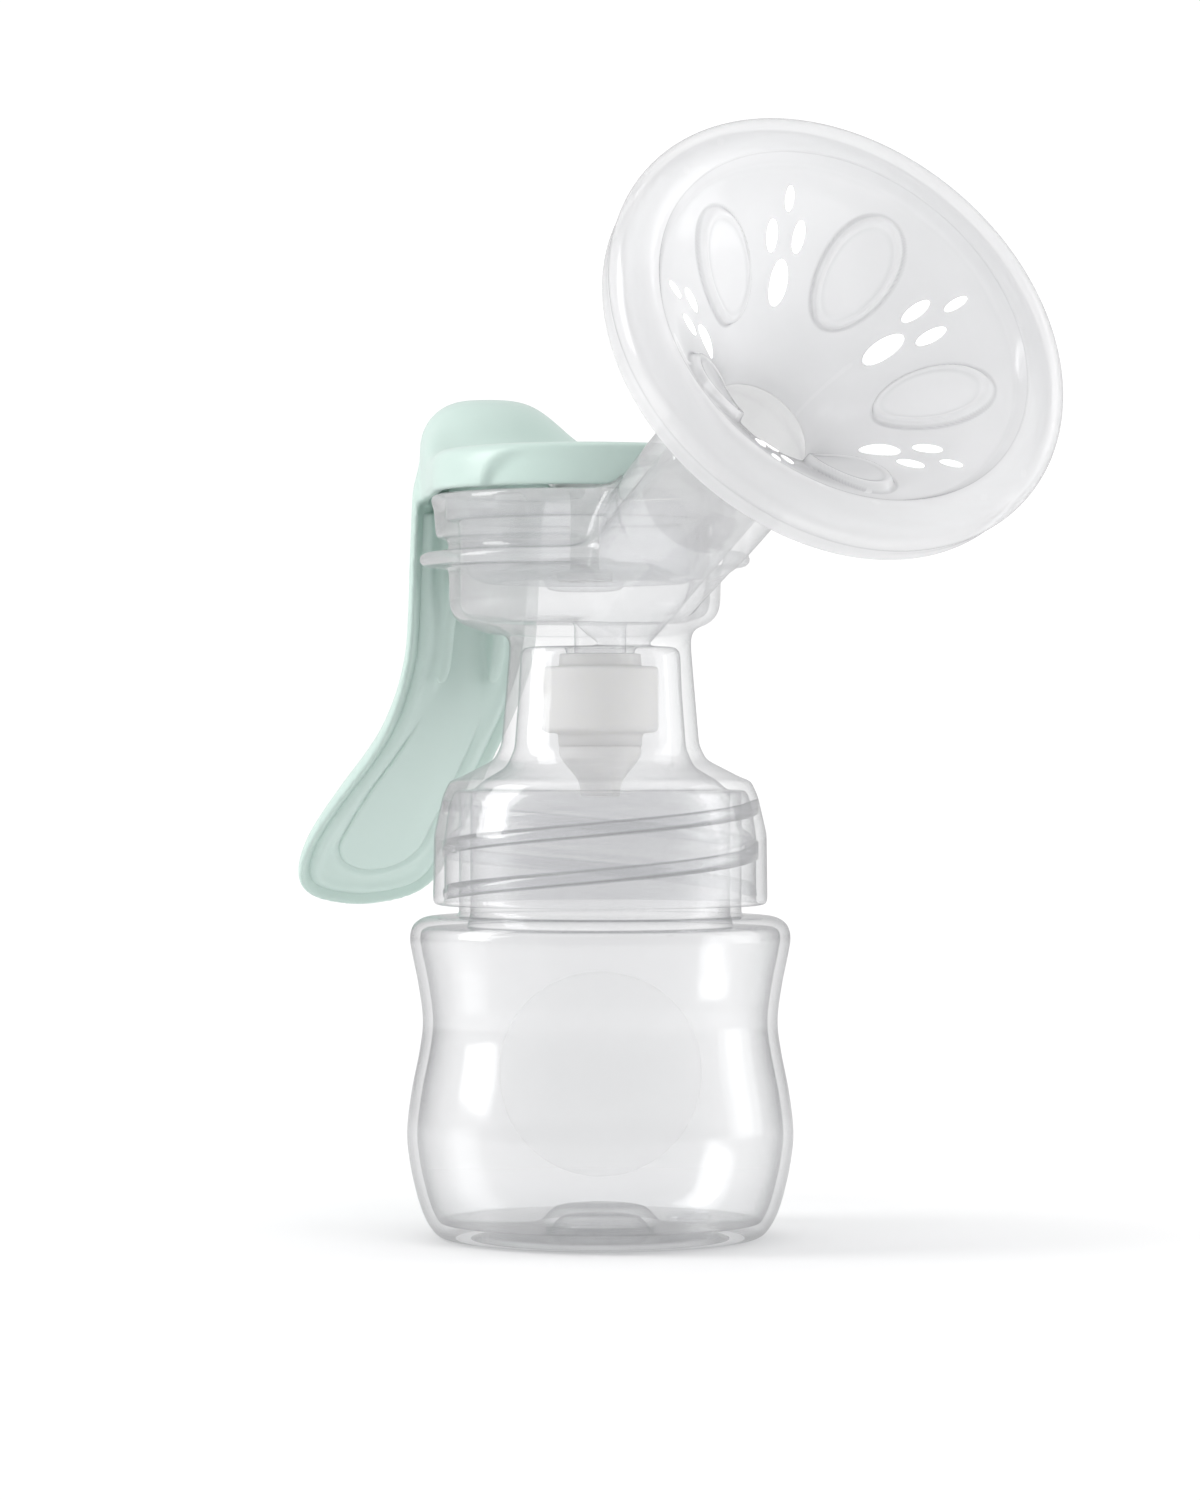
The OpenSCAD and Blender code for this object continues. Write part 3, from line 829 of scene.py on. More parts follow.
# collar and tapering neck about the bottle's axis, (radius, z, corner radius)
COLLAR = turned_field(rounded([
    [-6, 58.9, 0], [29.6, 58.9, 0.9], [29.45, 71.5, 4], [27.95, 78.1, 4], [26.7, 80.9, 1.2],
    [24.9, 81.5, 1.0], [18.7, 84.7, 2.5], [17.5, 87.4, 2.0], [16.8, 95.6, 3], [16.1, 104, 3],
    [16.0, 112, 0], [-6, 112, 0]], 6))
COLLAR_HOLLOW = turned_field(rounded([
    [-6, 50, 0], [27.6, 50, 0], [27.6, 71, 2], [26.8, 76.6, 1], [25.8, 79.3, 0.5],
    [22.4, 79.3, 0.5], [20.8, 80.9, 2], [16.6, 83.4, 2], [15.2, 86.6, 2], [14.5, 95.6, 2],
    [14.1, 104.6, 1.6], [-6, 104.6, 0]], 6))
# cup with its flange and rim band about the cup's axis, (radius, z, corner radius)
CUP = turned_field(rounded([
    [-6, 106.9, 0], [16.8, 106.9, 5], [24.1, 109.5, 5], [24.3, 118.9, 0.8],
    [28.2, 118.9, 0.6], [29.45, 119.4, 0.75], [29.45, 121.0, 0.75], [28.2, 121.5, 0.6],
    [24.3, 121.6, 0.6], [24.3, 123.8, 0.6], [26.5, 124.0, 0.8], [26.95, 129.7, 0.3],
    [27.35, 129.9, 0.3], [27.35, CUP_TOP, 0.6], [-6, CUP_TOP, 0]], 6))
CUP_HOLLOW = turned_field(rounded([
    [-6, 109, 0], [17.4, 109, 3], [22.3, 110.2, 3.5], [22.3, 127, 0.4], [24.8, 127, 0.3],
    [24.8, 160, 0], [-6, 160, 0]], 6))
# funnel about its own axis, (radius, distance from the rim plane)
FUNNEL = turned_field(np.concatenate([
    [[-6, -60], [12.3, -60]],
    spline([[12.3, -42], [12.7, -33], [15.4, -24.0], [20.8, -16.3], [27, -9.9], [32.5, -5.2],
            [36.8, -2.2], [38.4, -1.2]], 6),
    [[38.9, -0.4], [38.7, 0.35], [37.8, 0.5], [-6, 0.5]]]))
FUNNEL_HOLLOW = turned_field(np.concatenate([
    [[-6, -60], [BORE_RADIUS, -60], [BORE_RADIUS, -31.3], [11.95, -31.2]],
    spline([[11.95, -31.0], [12.15, -27], [14.3, -21.3], [20, -13.5], [26, -7.3],
            [31.4, -3.0], [35, -0.9], [37.5, 0.4]], 6),
    [[37.9, 0.6], [37.9, 12], [-6, 12]]]))


def body_distance(x, y, z):
    x, y, z = single(x, y, z)
    radius = np.hypot(x, y)
    cup_radius = np.hypot(x - CUP_X, y)
    along, tube_radius = funnel_coords(x, y, z)
    # the feed tube is slightly slimmer towards the cup
    tube = overlap(tube_radius - (11.7 + 0.8 * smoothstep(along, -90, -45)),
                   between(along, -92, -38))
    funnel = np.maximum(FUNNEL(tube_radius, along), FUNNEL_BACK - along)
    arm = soft_min(tube, funnel, soft=1.5)
    body = soft_min(COLLAR(radius, z), CUP(cup_radius, z), soft=2.2)
    body = soft_min(body, arm, soft=3.6)

    bore = overlap(tube_radius - BORE_RADIUS, between(along, -88, -25))
    funnel_hollow = np.maximum(FUNNEL_HOLLOW(tube_radius, along), FUNNEL_BACK - along)
    upper_hollow = soft_min(CUP_HOLLOW(cup_radius, z), np.minimum(bore, funnel_hollow),
                            soft=0.8)
    body = carve(body, COLLAR_HOLLOW(radius, z), soft=0.35)
    body = carve(body, upper_hollow, soft=0.35)

    # stub that carries the valve
    stub = overlap(radius - 6.0, slab(z, middle=99.7, half=7.7))
    stub_bore = overlap(radius - 4.6, slab(z, middle=101, half=10.5))
    body = np.maximum(soft_min(body, stub, soft=0.8), -stub_bore)

    # hinge lug with a pin to both sides
    from_x, from_z = x - PIVOT_X, z - PIVOT_Z
    from_pivot = np.hypot(from_x, from_z)
    web_half = 4.0 - 0.18 * np.clip(from_x, 0, 7)
    web = overlap(between(from_x, 0, 6.5),
                  np.abs(from_z + 0.35 * np.maximum(from_x, 0)) - web_half)
    lug = soft_max(np.minimum(from_pivot - 4.0, web), slab(y, half=3.8), soft=0.6)
    pin = overlap(from_pivot - PIN_RADIUS, slab(y, half=7.2))
    return np.minimum(soft_min(body, lug, soft=0.8), pin)


def build_collar_threads():
    """Two ribs on the inside of the collar, swept along their helix."""
    stations = 170
    first, last, fade = -294.0, 68.0, 14       # degrees
    middle, root = 74.0, 27.9                  # height at 0 degrees and radius of the foot
    # (radius, height, corner radius)
    section = rounded([[28.0, 1.35, 0], [25.75, 0.72, 0.35], [25.75, -0.72, 0.35],
                       [28.0, -1.35, 0]], 5)
    count = len(section)
    degrees = np.linspace(first, last, stations)[:, None]
    rise = (smoothstep(degrees, first, first + fade)
            * (1 - smoothstep(degrees, last - fade, last)))
    radius = root + (section[:, 0] - root) * (0.04 + 0.96 * rise)
    height = middle + THREAD_LEAD * degrees / 360.0 + section[:, 1] * (0.35 + 0.65 * rise)
    for k, start in enumerate((0.0, 180.0)):
        angle = np.radians(degrees + start)
        points = np.stack([radius * np.cos(angle), radius * np.sin(angle), height], -1)
        faces = []
        for i in range(stations - 1):
            faces += band_faces(i * count, (i + 1) * count, count)
        faces.append(list(range(count))[::-1])
        faces.append([(stations - 1) * count + i for i in range(count)])
        rib = list_mesh("collar_thread_%d" % k, points.reshape(-1, 3), faces)
        dress(rib, CLEAR_RIB, "pump", "clear_body")


def build_body():
    build_collar_threads()
    piece = field_mesh("pump_body_clear", body_distance, (-44.5, -41.5, 56.5),
                       (104.5, 41.5, 191.5), BODY_STEP)
    dress(piece, CLEAR_BODY, "pump", "clear_body", "pump_body")


# ------------------------------------------------------------------ cushion
# inner face from its outer end down the throat, (radius, distance from the rim plane)
FACE = spline([
    [33.4, 3.0], [32.3, 1.1], [31.2, -0.1], [27.9, -2.7], [23.4, -6.8], [17.7, -12.4],
    [14, -17.2], [11.3, -22], [9.95, -26.5], [9.6, -31]], 24)
FACE_SLOPE = np.concatenate([[0], np.cumsum(np.linalg.norm(np.diff(FACE, axis=0), axis=1))])
# back of the cushion from the roll over the rim to the throat, same columns
CUSHION_BACK = [
    [40.2, -1.6], [39.95, -3.0], [39.85, -4.2], [39.75, -4.9], [39.45, -5.2], [39.15, -4.9],
    [39.1, -3.8], [39.1, -2.0], [39.1, 0.2], [38.9, 0.9], [37.8, 0.85], [35.2, -0.35],
    [31.2, -2.7], [25.8, -6.95], [19.8, -13.15], [14.1, -21.1], [11.95, -27],
    [11.75, -30.85]]
ROLL_CENTRE, ROLL_RADIUS = (36.6, 0.5), 4.1
PETALS = 5
PETAL_PITCH = 360 // PETALS
# dots of each group: radius, degrees aside, half length, half width
DOTS = [(27.9, 0.0, 2.2, 0.85), (23.36, -6.24, 2.85, 1.1), (23.36, 6.24, 2.85, 1.1),
        (17.66, 0.0, 4.1, 1.7)]
# rings of a dot: share of its size, height above the face
DOT_RINGS = [(0.0, 0.16), (0.35, 0.16), (0.7, 0.15), (0.92, 0.13), (1.0, 0.07), (1.0, -0.15)]
DOT_SEGMENTS = 28


def face_normals():
    """Normals of the inner face, pointing into the bowl."""
    tangents = unit_tangents(FACE)
    normals = np.stack([tangents[:, 1], -tangents[:, 0]], -1)
    return np.where(normals[:, 1:2] < 0, -normals, normals)


FACE_NORMALS = face_normals()


def slope_at(radius):
    """Distance down the inner face at which it has this radius."""
    return float(np.interp(-radius, -FACE[:, 0], FACE_SLOPE))


def petal_height(slope, angle, radius):
    """Raised oval petals on the inner face; angle is measured from the top."""
    along = (slope - slope_at(21.7)) / 10.8
    half_width = 6.4 * (1.0 - 0.16 * np.clip(along, -1, 1))      # egg shape, wider outside
    height = 0.0
    for k in range(PETALS):
        middle = math.radians(PETAL_PITCH // 2 + PETAL_PITCH * k)
        aside = (angle - middle + math.pi) % (2 * math.pi) - math.pi
        across = aside * radius / half_width
        size = np.sqrt(along * along + across * across)
        # rounded shoulder, a faint dip inside it and a low crown
        shoulder = 0.24 * np.exp(-((size - 0.85) / 0.07) ** 2)
        crown = 0.35 * np.clip(1 - size * size, 0, 1)
        height = np.maximum(height,
                            (1 - smoothstep(size, 0.89, 1.0)) * (1.15 + shoulder + crown))
    return height


def build_cushion():
    roll = [[ROLL_CENTRE[0] + ROLL_RADIUS * math.cos(a), ROLL_CENTRE[1]
             + ROLL_RADIUS * math.sin(a)] for a in np.radians(np.arange(142, -31, -4))]
    profile = np.concatenate([roll, spline(CUSHION_BACK, 5), [[11.0, -31.1], [10.2, -31.15]],
                              FACE[::-1]])
    profile = drop_close(densify(profile, 0.6), 0.1)
    # nearest point of the inner face for every profile point
    squares = ((profile[:, None] - FACE[None]) ** 2).sum(-1)
    nearest = squares.argmin(1)
    on_face = (np.sqrt(squares.min(1)) < 0.4) & (profile[:, 0] < 33.0)
    normals = FACE_NORMALS[nearest]

    def petals(radius, z, angle):
        height = petal_height(FACE_SLOPE[nearest][:, None], angle, radius)
        height = np.where(on_face[:, None], height, 0.0)
        return height * normals[:, 0:1], height * normals[:, 1:2]

    piece = lathe("massage_cushion_soft", profile, 480, petals, funnel_place)
    dress(piece, MILKY_CUSHION, "pump", "clear_silicone", "massage_cushion")


def build_cushion_dots():
    """Thin raised ovals that follow the inner face between the petals."""
    points, faces = [], []
    for k in range(PETALS):
        for face_radius, aside, half_length, half_width in DOTS:
            base = len(points)
            for share, height in DOT_RINGS:
                for i in range(DOT_SEGMENTS if share else 1):
                    turn = 2 * math.pi * i / DOT_SEGMENTS
                    slope = slope_at(face_radius) + share * half_length * math.cos(turn)
                    normal = FACE_NORMALS[int(np.argmin(np.abs(FACE_SLOPE - slope)))]
                    radius, z = [np.interp(slope, FACE_SLOPE, FACE[:, c]) + normal[c] * height
                                 for c in (0, 1)]
                    angle = (math.radians(PETAL_PITCH * k + aside)
                             + share * half_width * math.sin(turn) / radius)
                    points.append((radius * math.cos(angle), radius * math.sin(angle), z))
            rings = len(DOT_RINGS) - 1
            faces += disc_faces(base, rings, DOT_SEGMENTS)
            last = base + 1 + (rings - 1) * DOT_SEGMENTS
            faces.append([last + i for i in range(DOT_SEGMENTS)][::-1])
    piece = list_mesh("cushion_dots", funnel_place(np.array(points)), faces)
    dress(piece, PRINT_WHITE, "pump", "clear_silicone")


# ------------------------------------------------------------------ valve, diaphragm, stem
def build_valve():
    """Turned top with a beak below whose lips close in a slit."""
    # (radius, z, corner radius)
    outside = rounded([[6.03, 103.4, 0.3], [7.2, 103.4, 0.4], [7.35, 101.2, 0.4],
                       [10.3, 101.1, 0.8], [10.3, 89.5, 1.2], [7.5, 89.3, 0.8],
                       [7.3, 86.2, 0.5]], 5)
    inside = rounded([[5.2, 86.8, 0.5], [4.8, 88.5, 0.5], [4.8, 91.4, 0.3],
                      [6.03, 91.6, 0.3], [6.03, 103.4, 0]], 4)
    heights = np.linspace(86.0, 78.2, 16)
    beak_outside = [[7.3, z] for z in heights]
    beak_inside = [[6.1, z] for z in heights[::-1]]
    profile = densify(np.concatenate([outside, beak_outside, beak_inside, inside[:-1]]), 0.7)

    def close_lips(points):
        # y shrinks to the slit while x narrows a little
        x, y, z = points.T
        closing = smoothstep(86.2 - z, 0.0, 8.0)
        half_gap = np.where(np.hypot(x, y) > 6.7, 0.8, 0.12)
        lip = np.sign(y + 1e-12) * half_gap * np.minimum(1, np.abs(y) / 1.5)
        return np.stack([x * (1 + 0.02 * closing) * (1 - 0.18 * closing),
                         y * (1 - closing) + closing * lip, z], -1)

    piece = lathe("duckbill_valve_soft", profile, 96, place=close_lips)
    dress(piece, WHITE_SILICONE, "pump", "white_silicone", "duckbill_valve")


def build_diaphragm():
    """Lip, rolling skirt and a boss round the stem."""
    # (radius, z, corner radius), then (radius, z)
    lip = rounded([[21.2, 131.82, 0.4], [24.65, 131.82, 0.5], [24.65, 127.1, 0.4],
                   [22.1, 127.1, 0.3]], 4)
    underside = spline([[21.9, 126.6], [21.75, 123], [21.4, 119.6], [20, 117], [17, 116],
                        [14, 117.2], [11, 118.2], [7.5, 116.6], [6, 114.8], [0, 114.6]], 5)
    boss = [[0, 116.22], [5.08, 116.22], [5.08, 118.3], [2.66, 118.3], [2.66, 120.4],
            [4.6, 120.5]]
    top = spline([[5.3, 120.2], [7.4, 119.2], [11, 119.6], [14.4, 118.6], [17, 117.3],
                  [19, 118], [20.2, 120.2], [20.5, 123], [20.6, 128.4]], 5)
    profile = densify(np.concatenate([lip, underside, boss, top]), 0.7)
    piece = lathe("diaphragm_soft", profile, 192,
                  place=lambda points: points + np.array([CUP_X, 0, 0]))
    piece.data.materials.append(MILKY_DIAPHRAGM)
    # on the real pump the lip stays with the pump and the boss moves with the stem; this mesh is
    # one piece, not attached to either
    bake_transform(piece)
    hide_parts("diaphragm")


def stem_distance(x, y, z):
    x = x - CUP_X
    radius = np.hypot(x, y)
    foot = soft_max(radius - 5.0, slab(z, middle=117.25, half=0.95), soft=0.4)
    shaft = overlap(radius - 2.55 - 0.35 * smoothstep(z, 131.0, 133.2),
                    slab(z, middle=126, half=9.2))
    bar = soft_max(np.hypot(x, z - 135.0) - 2.0, slab(y, half=7.0), soft=0.8)
    stem = soft_min(foot, shaft, soft=0.8)
    stem = soft_min(stem, bar, soft=0.9)
    # four flutes leave a cross-ribbed shaft
    flutes = overlap(np.hypot(np.abs(x) - 3.1, np.abs(y) - 3.1) - 1.9,
                     slab(z, middle=126, half=4.6))
    return carve(stem, flutes, soft=0.4)


def build_stem():
    piece = field_mesh("diaphragm_stem_white", stem_distance, (CUP_X - 7, -9, 114),
                       (CUP_X + 7, 9, 139), STEM_STEP)
    dress(piece, WHITE_PLASTIC, "stem", "white_plastic", "diaphragm_stem")


# ------------------------------------------------------------------ handle coordinates
# The grip's edge line runs up the side that faces the bottle. "along" is the distance up that
# line, "depth" the distance behind it (towards -x), "edge" the distance to the grip's outline.
# Front means the side towards +x.

# edge line from the grip's lower end upwards, (x, z)
GRIP_LINE = spline([
    [-100, 55.4], [-95.6, 61.2], [-89.9, 67.2], [-83.9, 72.2], [-76.7, 77.8], [-70, 82.6],
    [-63.8, 87.4], [-58, 92.9], [-53.4, 98.6], [-50.4, 104.6], [-49.1, 112], [-48.4, 120],
    [-47.6, 128], [-46.6, 138]], 10)
# outline of the grip, (along, half width)
GRIP_HALF = spline([
    [0.4, 0.0], [0.7, 3.0], [1.2, 6.0], [1.9, 8.7], [2.8, 10.8], [4.2, 12.8], [6.3, 14.4],
    [9.2, 15.4], [13, 15.9], [18, 15.9], [24, 15.45], [31, 14.6], [37.6, 13.8], [44, 13.2],
    [50, 12.9], [57, 12.9], [64, 13.1], [72, 13.3], [82, 13.4], [100, 13.5], [130, 13.5]], 4)
# half width of the rounded back, (along, half width)
DOME_HALF = [(0, 15.9), (13, 15.9), (18, 15.9), (24, 15.45), (31, 14.6), (37.6, 13.8),
             (44, 13.2), (50, 12.9), (57, 12.9), (64, 13.1), (72, 13.3), (100, 13.5)]
EDGE_DEPTH, BACK_DEPTH = 0.6, 7.4


def grip_coords(x, z):
    """Along and depth at points of the (x, z) plane; the line's ends run straight on."""
    line = np.concatenate([[GRIP_LINE[0] + (GRIP_LINE[0] - GRIP_LINE[1]) * 60], GRIP_LINE,
                           [GRIP_LINE[-1] + (GRIP_LINE[-1] - GRIP_LINE[-2]) * 60]])
    steps = np.cumsum(np.linalg.norm(np.diff(GRIP_LINE, axis=0), axis=1))
    starts = np.concatenate([[-np.linalg.norm(line[0] - GRIP_LINE[0])], [0], steps])
    nearest = np.full(x.shape, 1e9)
    along = np.zeros(x.shape)
    depth = np.zeros(x.shape)
    for start, end, offset in zip(line[:-1], line[1:], starts):
        span = end - start
        square = span @ span
        part = np.clip(((x - start[0]) * span[0] + (z - start[1]) * span[1]) / square, 0, 1)
        from_x, from_z = x - start[0] - span[0] * part, z - start[1] - span[1] * part
        gap = from_x * from_x + from_z * from_z
        closer = gap < nearest
        nearest = np.where(closer, gap, nearest)
        unit = span / math.sqrt(square)
        side = from_x * (-unit[1]) + from_z * unit[0]
        along = np.where(closer, offset + part * math.sqrt(square), along)
        depth = np.where(closer, np.sign(side) * np.sqrt(gap), depth)
    return along, depth


GRIP_ALONG, GRIP_DEPTH = [
    PlaneField(lambda x, z, which=which: grip_coords(x, z)[which], (-125.0, 45.0),
               (30.0, 165.0), step=0.25, blurs=2) for which in (0, 1)]
GRIP_EDGE = PlaneField(
    lambda along, y: polygon_distance(along, y,
                                      np.concatenate([GRIP_HALF, GRIP_HALF[::-1] * [1, -1]])),
    (-30.0, -30.0), (110.0, 30.0), step=0.25)


def handle_coords(x, y, z):
    along = GRIP_ALONG(x, z)
    return along, GRIP_DEPTH(x, z), GRIP_EDGE(along, y)


# ------------------------------------------------------------------ handle shell
CAP_RADIUS = 27.3
SHOULDER_RADIUS, SHOULDER_GAP = 13.7, 35.4     # circle behind the cap's, towards -x
HUMP_TOP, HUMP_ROUND = 151.0, 10.2
SKIRT_Z = 132.25                               # lower edge of the cap
MM_PER_DEGREE = 0.45                           # rough arc length round the cap


def grip_dome(along, depth, edge, inset=0.0):
    """The grip's rounded back, an ellipse across the outline behind the edge line."""
    half_width = lookup(along, DOME_HALF) - inset
    height = BACK_DEPTH - inset
    across = np.maximum(half_width + inset + edge, 0) / half_width
    behind = np.maximum(depth - EDGE_DEPTH, 0) / height
    size = np.hypot(across, behind)
    steepness = np.maximum(np.hypot(across / half_width, behind / height), 1e-4)
    return np.where(depth > EDGE_DEPTH, size * (size - 1) / steepness, edge + inset)


def head_distance(x, y, z):
    """The cap, straight shoulders that join it to the grip's back, and the hump there."""
    back, aside = -(x - CUP_X), np.abs(y)
    lean = (CAP_RADIUS - SHOULDER_RADIUS) / SHOULDER_GAP
    upright = math.sqrt(1 - lean * lean)
    station = aside * (-lean) + back * upright
    cap = np.hypot(back, aside) - CAP_RADIUS
    shoulder = np.hypot(back - SHOULDER_GAP, aside) - SHOULDER_RADIUS
    straight = aside * upright + back * lean - CAP_RADIUS
    plan = np.where(station < 0, cap,
                    np.where(station > upright * SHOULDER_GAP, shoulder, straight))
    crown = 0.7 * smoothstep(-plan, 0, 16)
    rise = 1 - smoothstep(x, -45.0, -26.0)
    base = soft_max(plan, z - 139.7 - crown - 5.0 * rise, soft=3.2 + 3.0 * rise)
    # hump over the grip's root: a dome with a wide rounded shoulder that leans towards -x
    hump_x = -41.3 - 0.27 * np.clip(z - 140.0, 0, 14)
    radius = np.hypot(x - hump_x, y)
    over_side = np.maximum(radius - (SHOULDER_RADIUS - HUMP_ROUND), 0)
    over_top = np.maximum(z - (HUMP_TOP - HUMP_ROUND), 0)
    hump = np.where(z > HUMP_TOP - HUMP_ROUND, np.hypot(over_side, over_top) - HUMP_ROUND,
                    radius - SHOULDER_RADIUS)
    hump = np.maximum(hump, 128.0 - z)
    return soft_min(base, hump, soft=1.0 + 6.0 * smoothstep(x, -46.0, -34.0))


def arch_cap_front(shell, x, y, z):
    """Arch the edge over the front of the cap and set the wall below it back."""
    radius = np.hypot(x - CUP_X, y)
    degrees = np.degrees(np.abs(np.arctan2(y, x - CUP_X)))
    bend = np.clip((degrees - 46) / 23.0, 0, 1)
    arch_z = 138.4 - 7.2 * (1 - np.sqrt(np.clip(1 - bend * bend, 0, 1)))
    notch = soft_max(25.9 - radius, z - arch_z, soft=1.3)
    notch = soft_max(notch, (degrees - 71) * MM_PER_DEGREE, soft=0.8)
    wall = overlap(between(radius, 24.6, 25.95), between(z, SKIRT_Z, 139.3),
                   (degrees - 78) * MM_PER_DEGREE)
    return soft_min(carve(shell, notch, soft=1.1), wall, soft=0.3)


def shell_distance(x, y, z):
    x, y, z = single(x, y, z)
    along, depth, edge = handle_coords(x, y, z)
    grip = soft_max(grip_dome(along, depth, edge), -depth, soft=1.1)
    grip = soft_max(grip, z - 141.5, soft=9.0)
    head = head_distance(x, y, z)
    cap = soft_max(head, SKIRT_Z - z, soft=0.8)
    root = soft_max(head, np.maximum(122.0 - z, -depth), soft=1.0)     # behind the edge line
    shell = soft_min(grip, np.minimum(cap, root), soft=1.6)
    # dished front: narrow edge and a soft valley down to the liner
    dish = soft_max(edge + 0.7, depth - 1.45 * smoothstep(-edge, 0.3, 2.6), soft=0.5)
    dish = soft_max(dish, z - 132.0, soft=0.8)
    grip_hollow = overlap(grip_dome(along, depth, edge, inset=2.0), edge + 5.0, 9.0 - along,
                          z - 137.0, -depth - 6)
    shell = carve(shell, dish, soft=0.45)
    shell = carve(shell, grip_hollow, soft=0.4)
    # hollow of the head, open below
    head_hollow = soft_max(head + 2.1, -(z - 126.5), soft=0.3)
    head_hollow = np.maximum(head_hollow, depth - 6.0)
    shell = carve(shell, head_hollow, soft=0.4)
    shell = arch_cap_front(shell, x, y, z)
    # relief for the feed tube at the cap's front edge
    tube_along, tube_radius = funnel_coords(x, y, z)
    return carve(shell, np.maximum(tube_radius - 13.4, -(tube_along + 96)), soft=0.6)


# ------------------------------------------------------------------ handle liner and inlay
# half width of the inlay, (along, half width)
PAD_HALF = [(17.0, 9.2), (24, 9.0), (34, 8.45), (44, 7.5), (51, 6.95), (59, 6.7), (68, 6.5)]
PAD_START, PAD_END = 17.0, 62.0
# half width of the trough between the yoke's plates, (z, half width)
TROUGH_HALF = [(92, 7.2), (97, 6.2), (103, 5.1), (112, 4.6)]
# side plate of the yoke with a slot for the stem's bar, (x, z, corner radius)
YOKE_PLATE = PlaneField(lambda x, z: polygon_distance(x, z, rounded([
    [-53.6, 97, 0], [-51.1, 102, 3], [-49.7, 108, 3], [-47.6, 115, 4], [-42.8, 124.8, 3],
    [-35.8, 126.0, 2.5], [-33.9, 129, 2], [-33, 132.8, 2], [-12, 132.8, 1], [-9.6, 130.6, 1],
    [1.4, 130.6, 0.8], [2.6, 131.4, 0.5], [2.6, 132.7, 0.3], [CUP_X - 2.3, 132.7, 1.6],
    [CUP_X - 2.3, 137.3, 1.6], [2.6, 137.3, 0.3], [2.6, 138.4, 0.4], [-34, 138.4, 0],
    [-44, 138.4, 1], [-48, 135, 1], [-49.6, 128, 0], [-50.6, 118, 0], [-52, 107, 0]], 5)),
    (-62, 86), (12, 148), step=0.15)


def pad_outline(along, y):
    """Long U-shaped outline, round at the bottom and narrowing upwards."""
    below = np.minimum(along - PAD_START, 0.0) * 1.12
    return np.hypot(below, y) - lookup(along, PAD_HALF)


def liner_front(along, y, edge, z):
    """Depth of the liner's front."""
    inward = -edge
    # soft rise out of the shell's valley to a fine ridge, then a gentle dish
    depth = (1.25 - 0.95 * smoothstep(inward, 2.2, 3.7) + 0.60 * smoothstep(inward, 3.8, 5.4)
             - 0.25 * smoothstep(inward, 5.4, 13.0))
    # soft lip round the inlay, fading out upwards
    fade = 1 - smoothstep(along, 50, 61)
    depth = depth - 0.34 * np.exp(-((pad_outline(along, y) - 1.05) / 0.50) ** 2) * fade
    # trough between the yoke's plates, deeper upwards
    half_width = lookup(z, TROUGH_HALF)
    across = 1 - smoothstep(np.abs(y), half_width - 1.8, half_width + 0.5)
    return depth + 2.1 * smoothstep(z, 93, 107) * across


def liner_distance(x, y, z):
    x, y, z = single(x, y, z)
    along, depth, edge = handle_coords(x, y, z)
    front = liner_front(along, y, edge, z)
    liner = soft_max(edge + 2.1, front - depth, soft=0.5)
    liner = np.maximum(liner, depth - np.maximum(2.4, front + 1.5))
    liner = soft_max(liner, z - 130.5, soft=0.8)
    # shallow recess for the inlay, with a fine groove round it
    recess = np.maximum(pad_outline(along, y) - 0.34,
                        depth - front - 0.45 * (1 - smoothstep(along, 46, 58)))
    liner = carve(liner, recess, soft=0.25)
    # two plates of the yoke with their hinge bores
    plates = soft_max(YOKE_PLATE(x, z), slab(np.abs(y), middle=5.25, half=1.25), soft=0.6)
    liner = soft_min(liner, plates, soft=1.2)
    hinge = overlap(np.hypot(x - PIVOT_X, z - PIVOT_Z) - (PIN_RADIUS + 0.05),
                    slab(y, half=9))
    return np.maximum(liner, -hinge)


def pad_distance(x, y, z):
    x, y, z = single(x, y, z)
    along, depth, edge = handle_coords(x, y, z)
    outline = pad_outline(along, y)
    crown = 0.22 * smoothstep(-outline, 0, 5) * (1 - smoothstep(along, 34, 48))
    sink = 0.35 * smoothstep(along, 53, 64)
    front = liner_front(along, y, edge, z) - 0.02 - crown + sink
    pad = soft_max(outline + 0.05, front - depth, soft=0.5)
    return overlap(pad, along - PAD_END, depth - np.maximum(front + 1.0, 2.0))


def build_handle():
    piece = field_mesh("handle_shell_green", shell_distance, (-109.5, -30.0, 51.5),
                       (25.5, 30.0, 154.0), HANDLE_STEP)
    dress(piece, GREEN_PLASTIC, "handle", "green_plastic", "handle_shell")
    piece = field_mesh("handle_liner_green", liner_distance, (-104.5, -19.0, 54.0),
                       (8.5, 19.0, 142.0), LINER_STEP)
    dress(piece, GREEN_LINER, "handle", "green_plastic", "handle_liner")
    piece = field_mesh("grip_pad_green", pad_distance, (-99.5, -14.0, 56.0),
                       (-49.0, 14.0, 104.0), LINER_STEP)
    dress(piece, GREEN_LINER, "handle", "green_pad", "grip_pad")


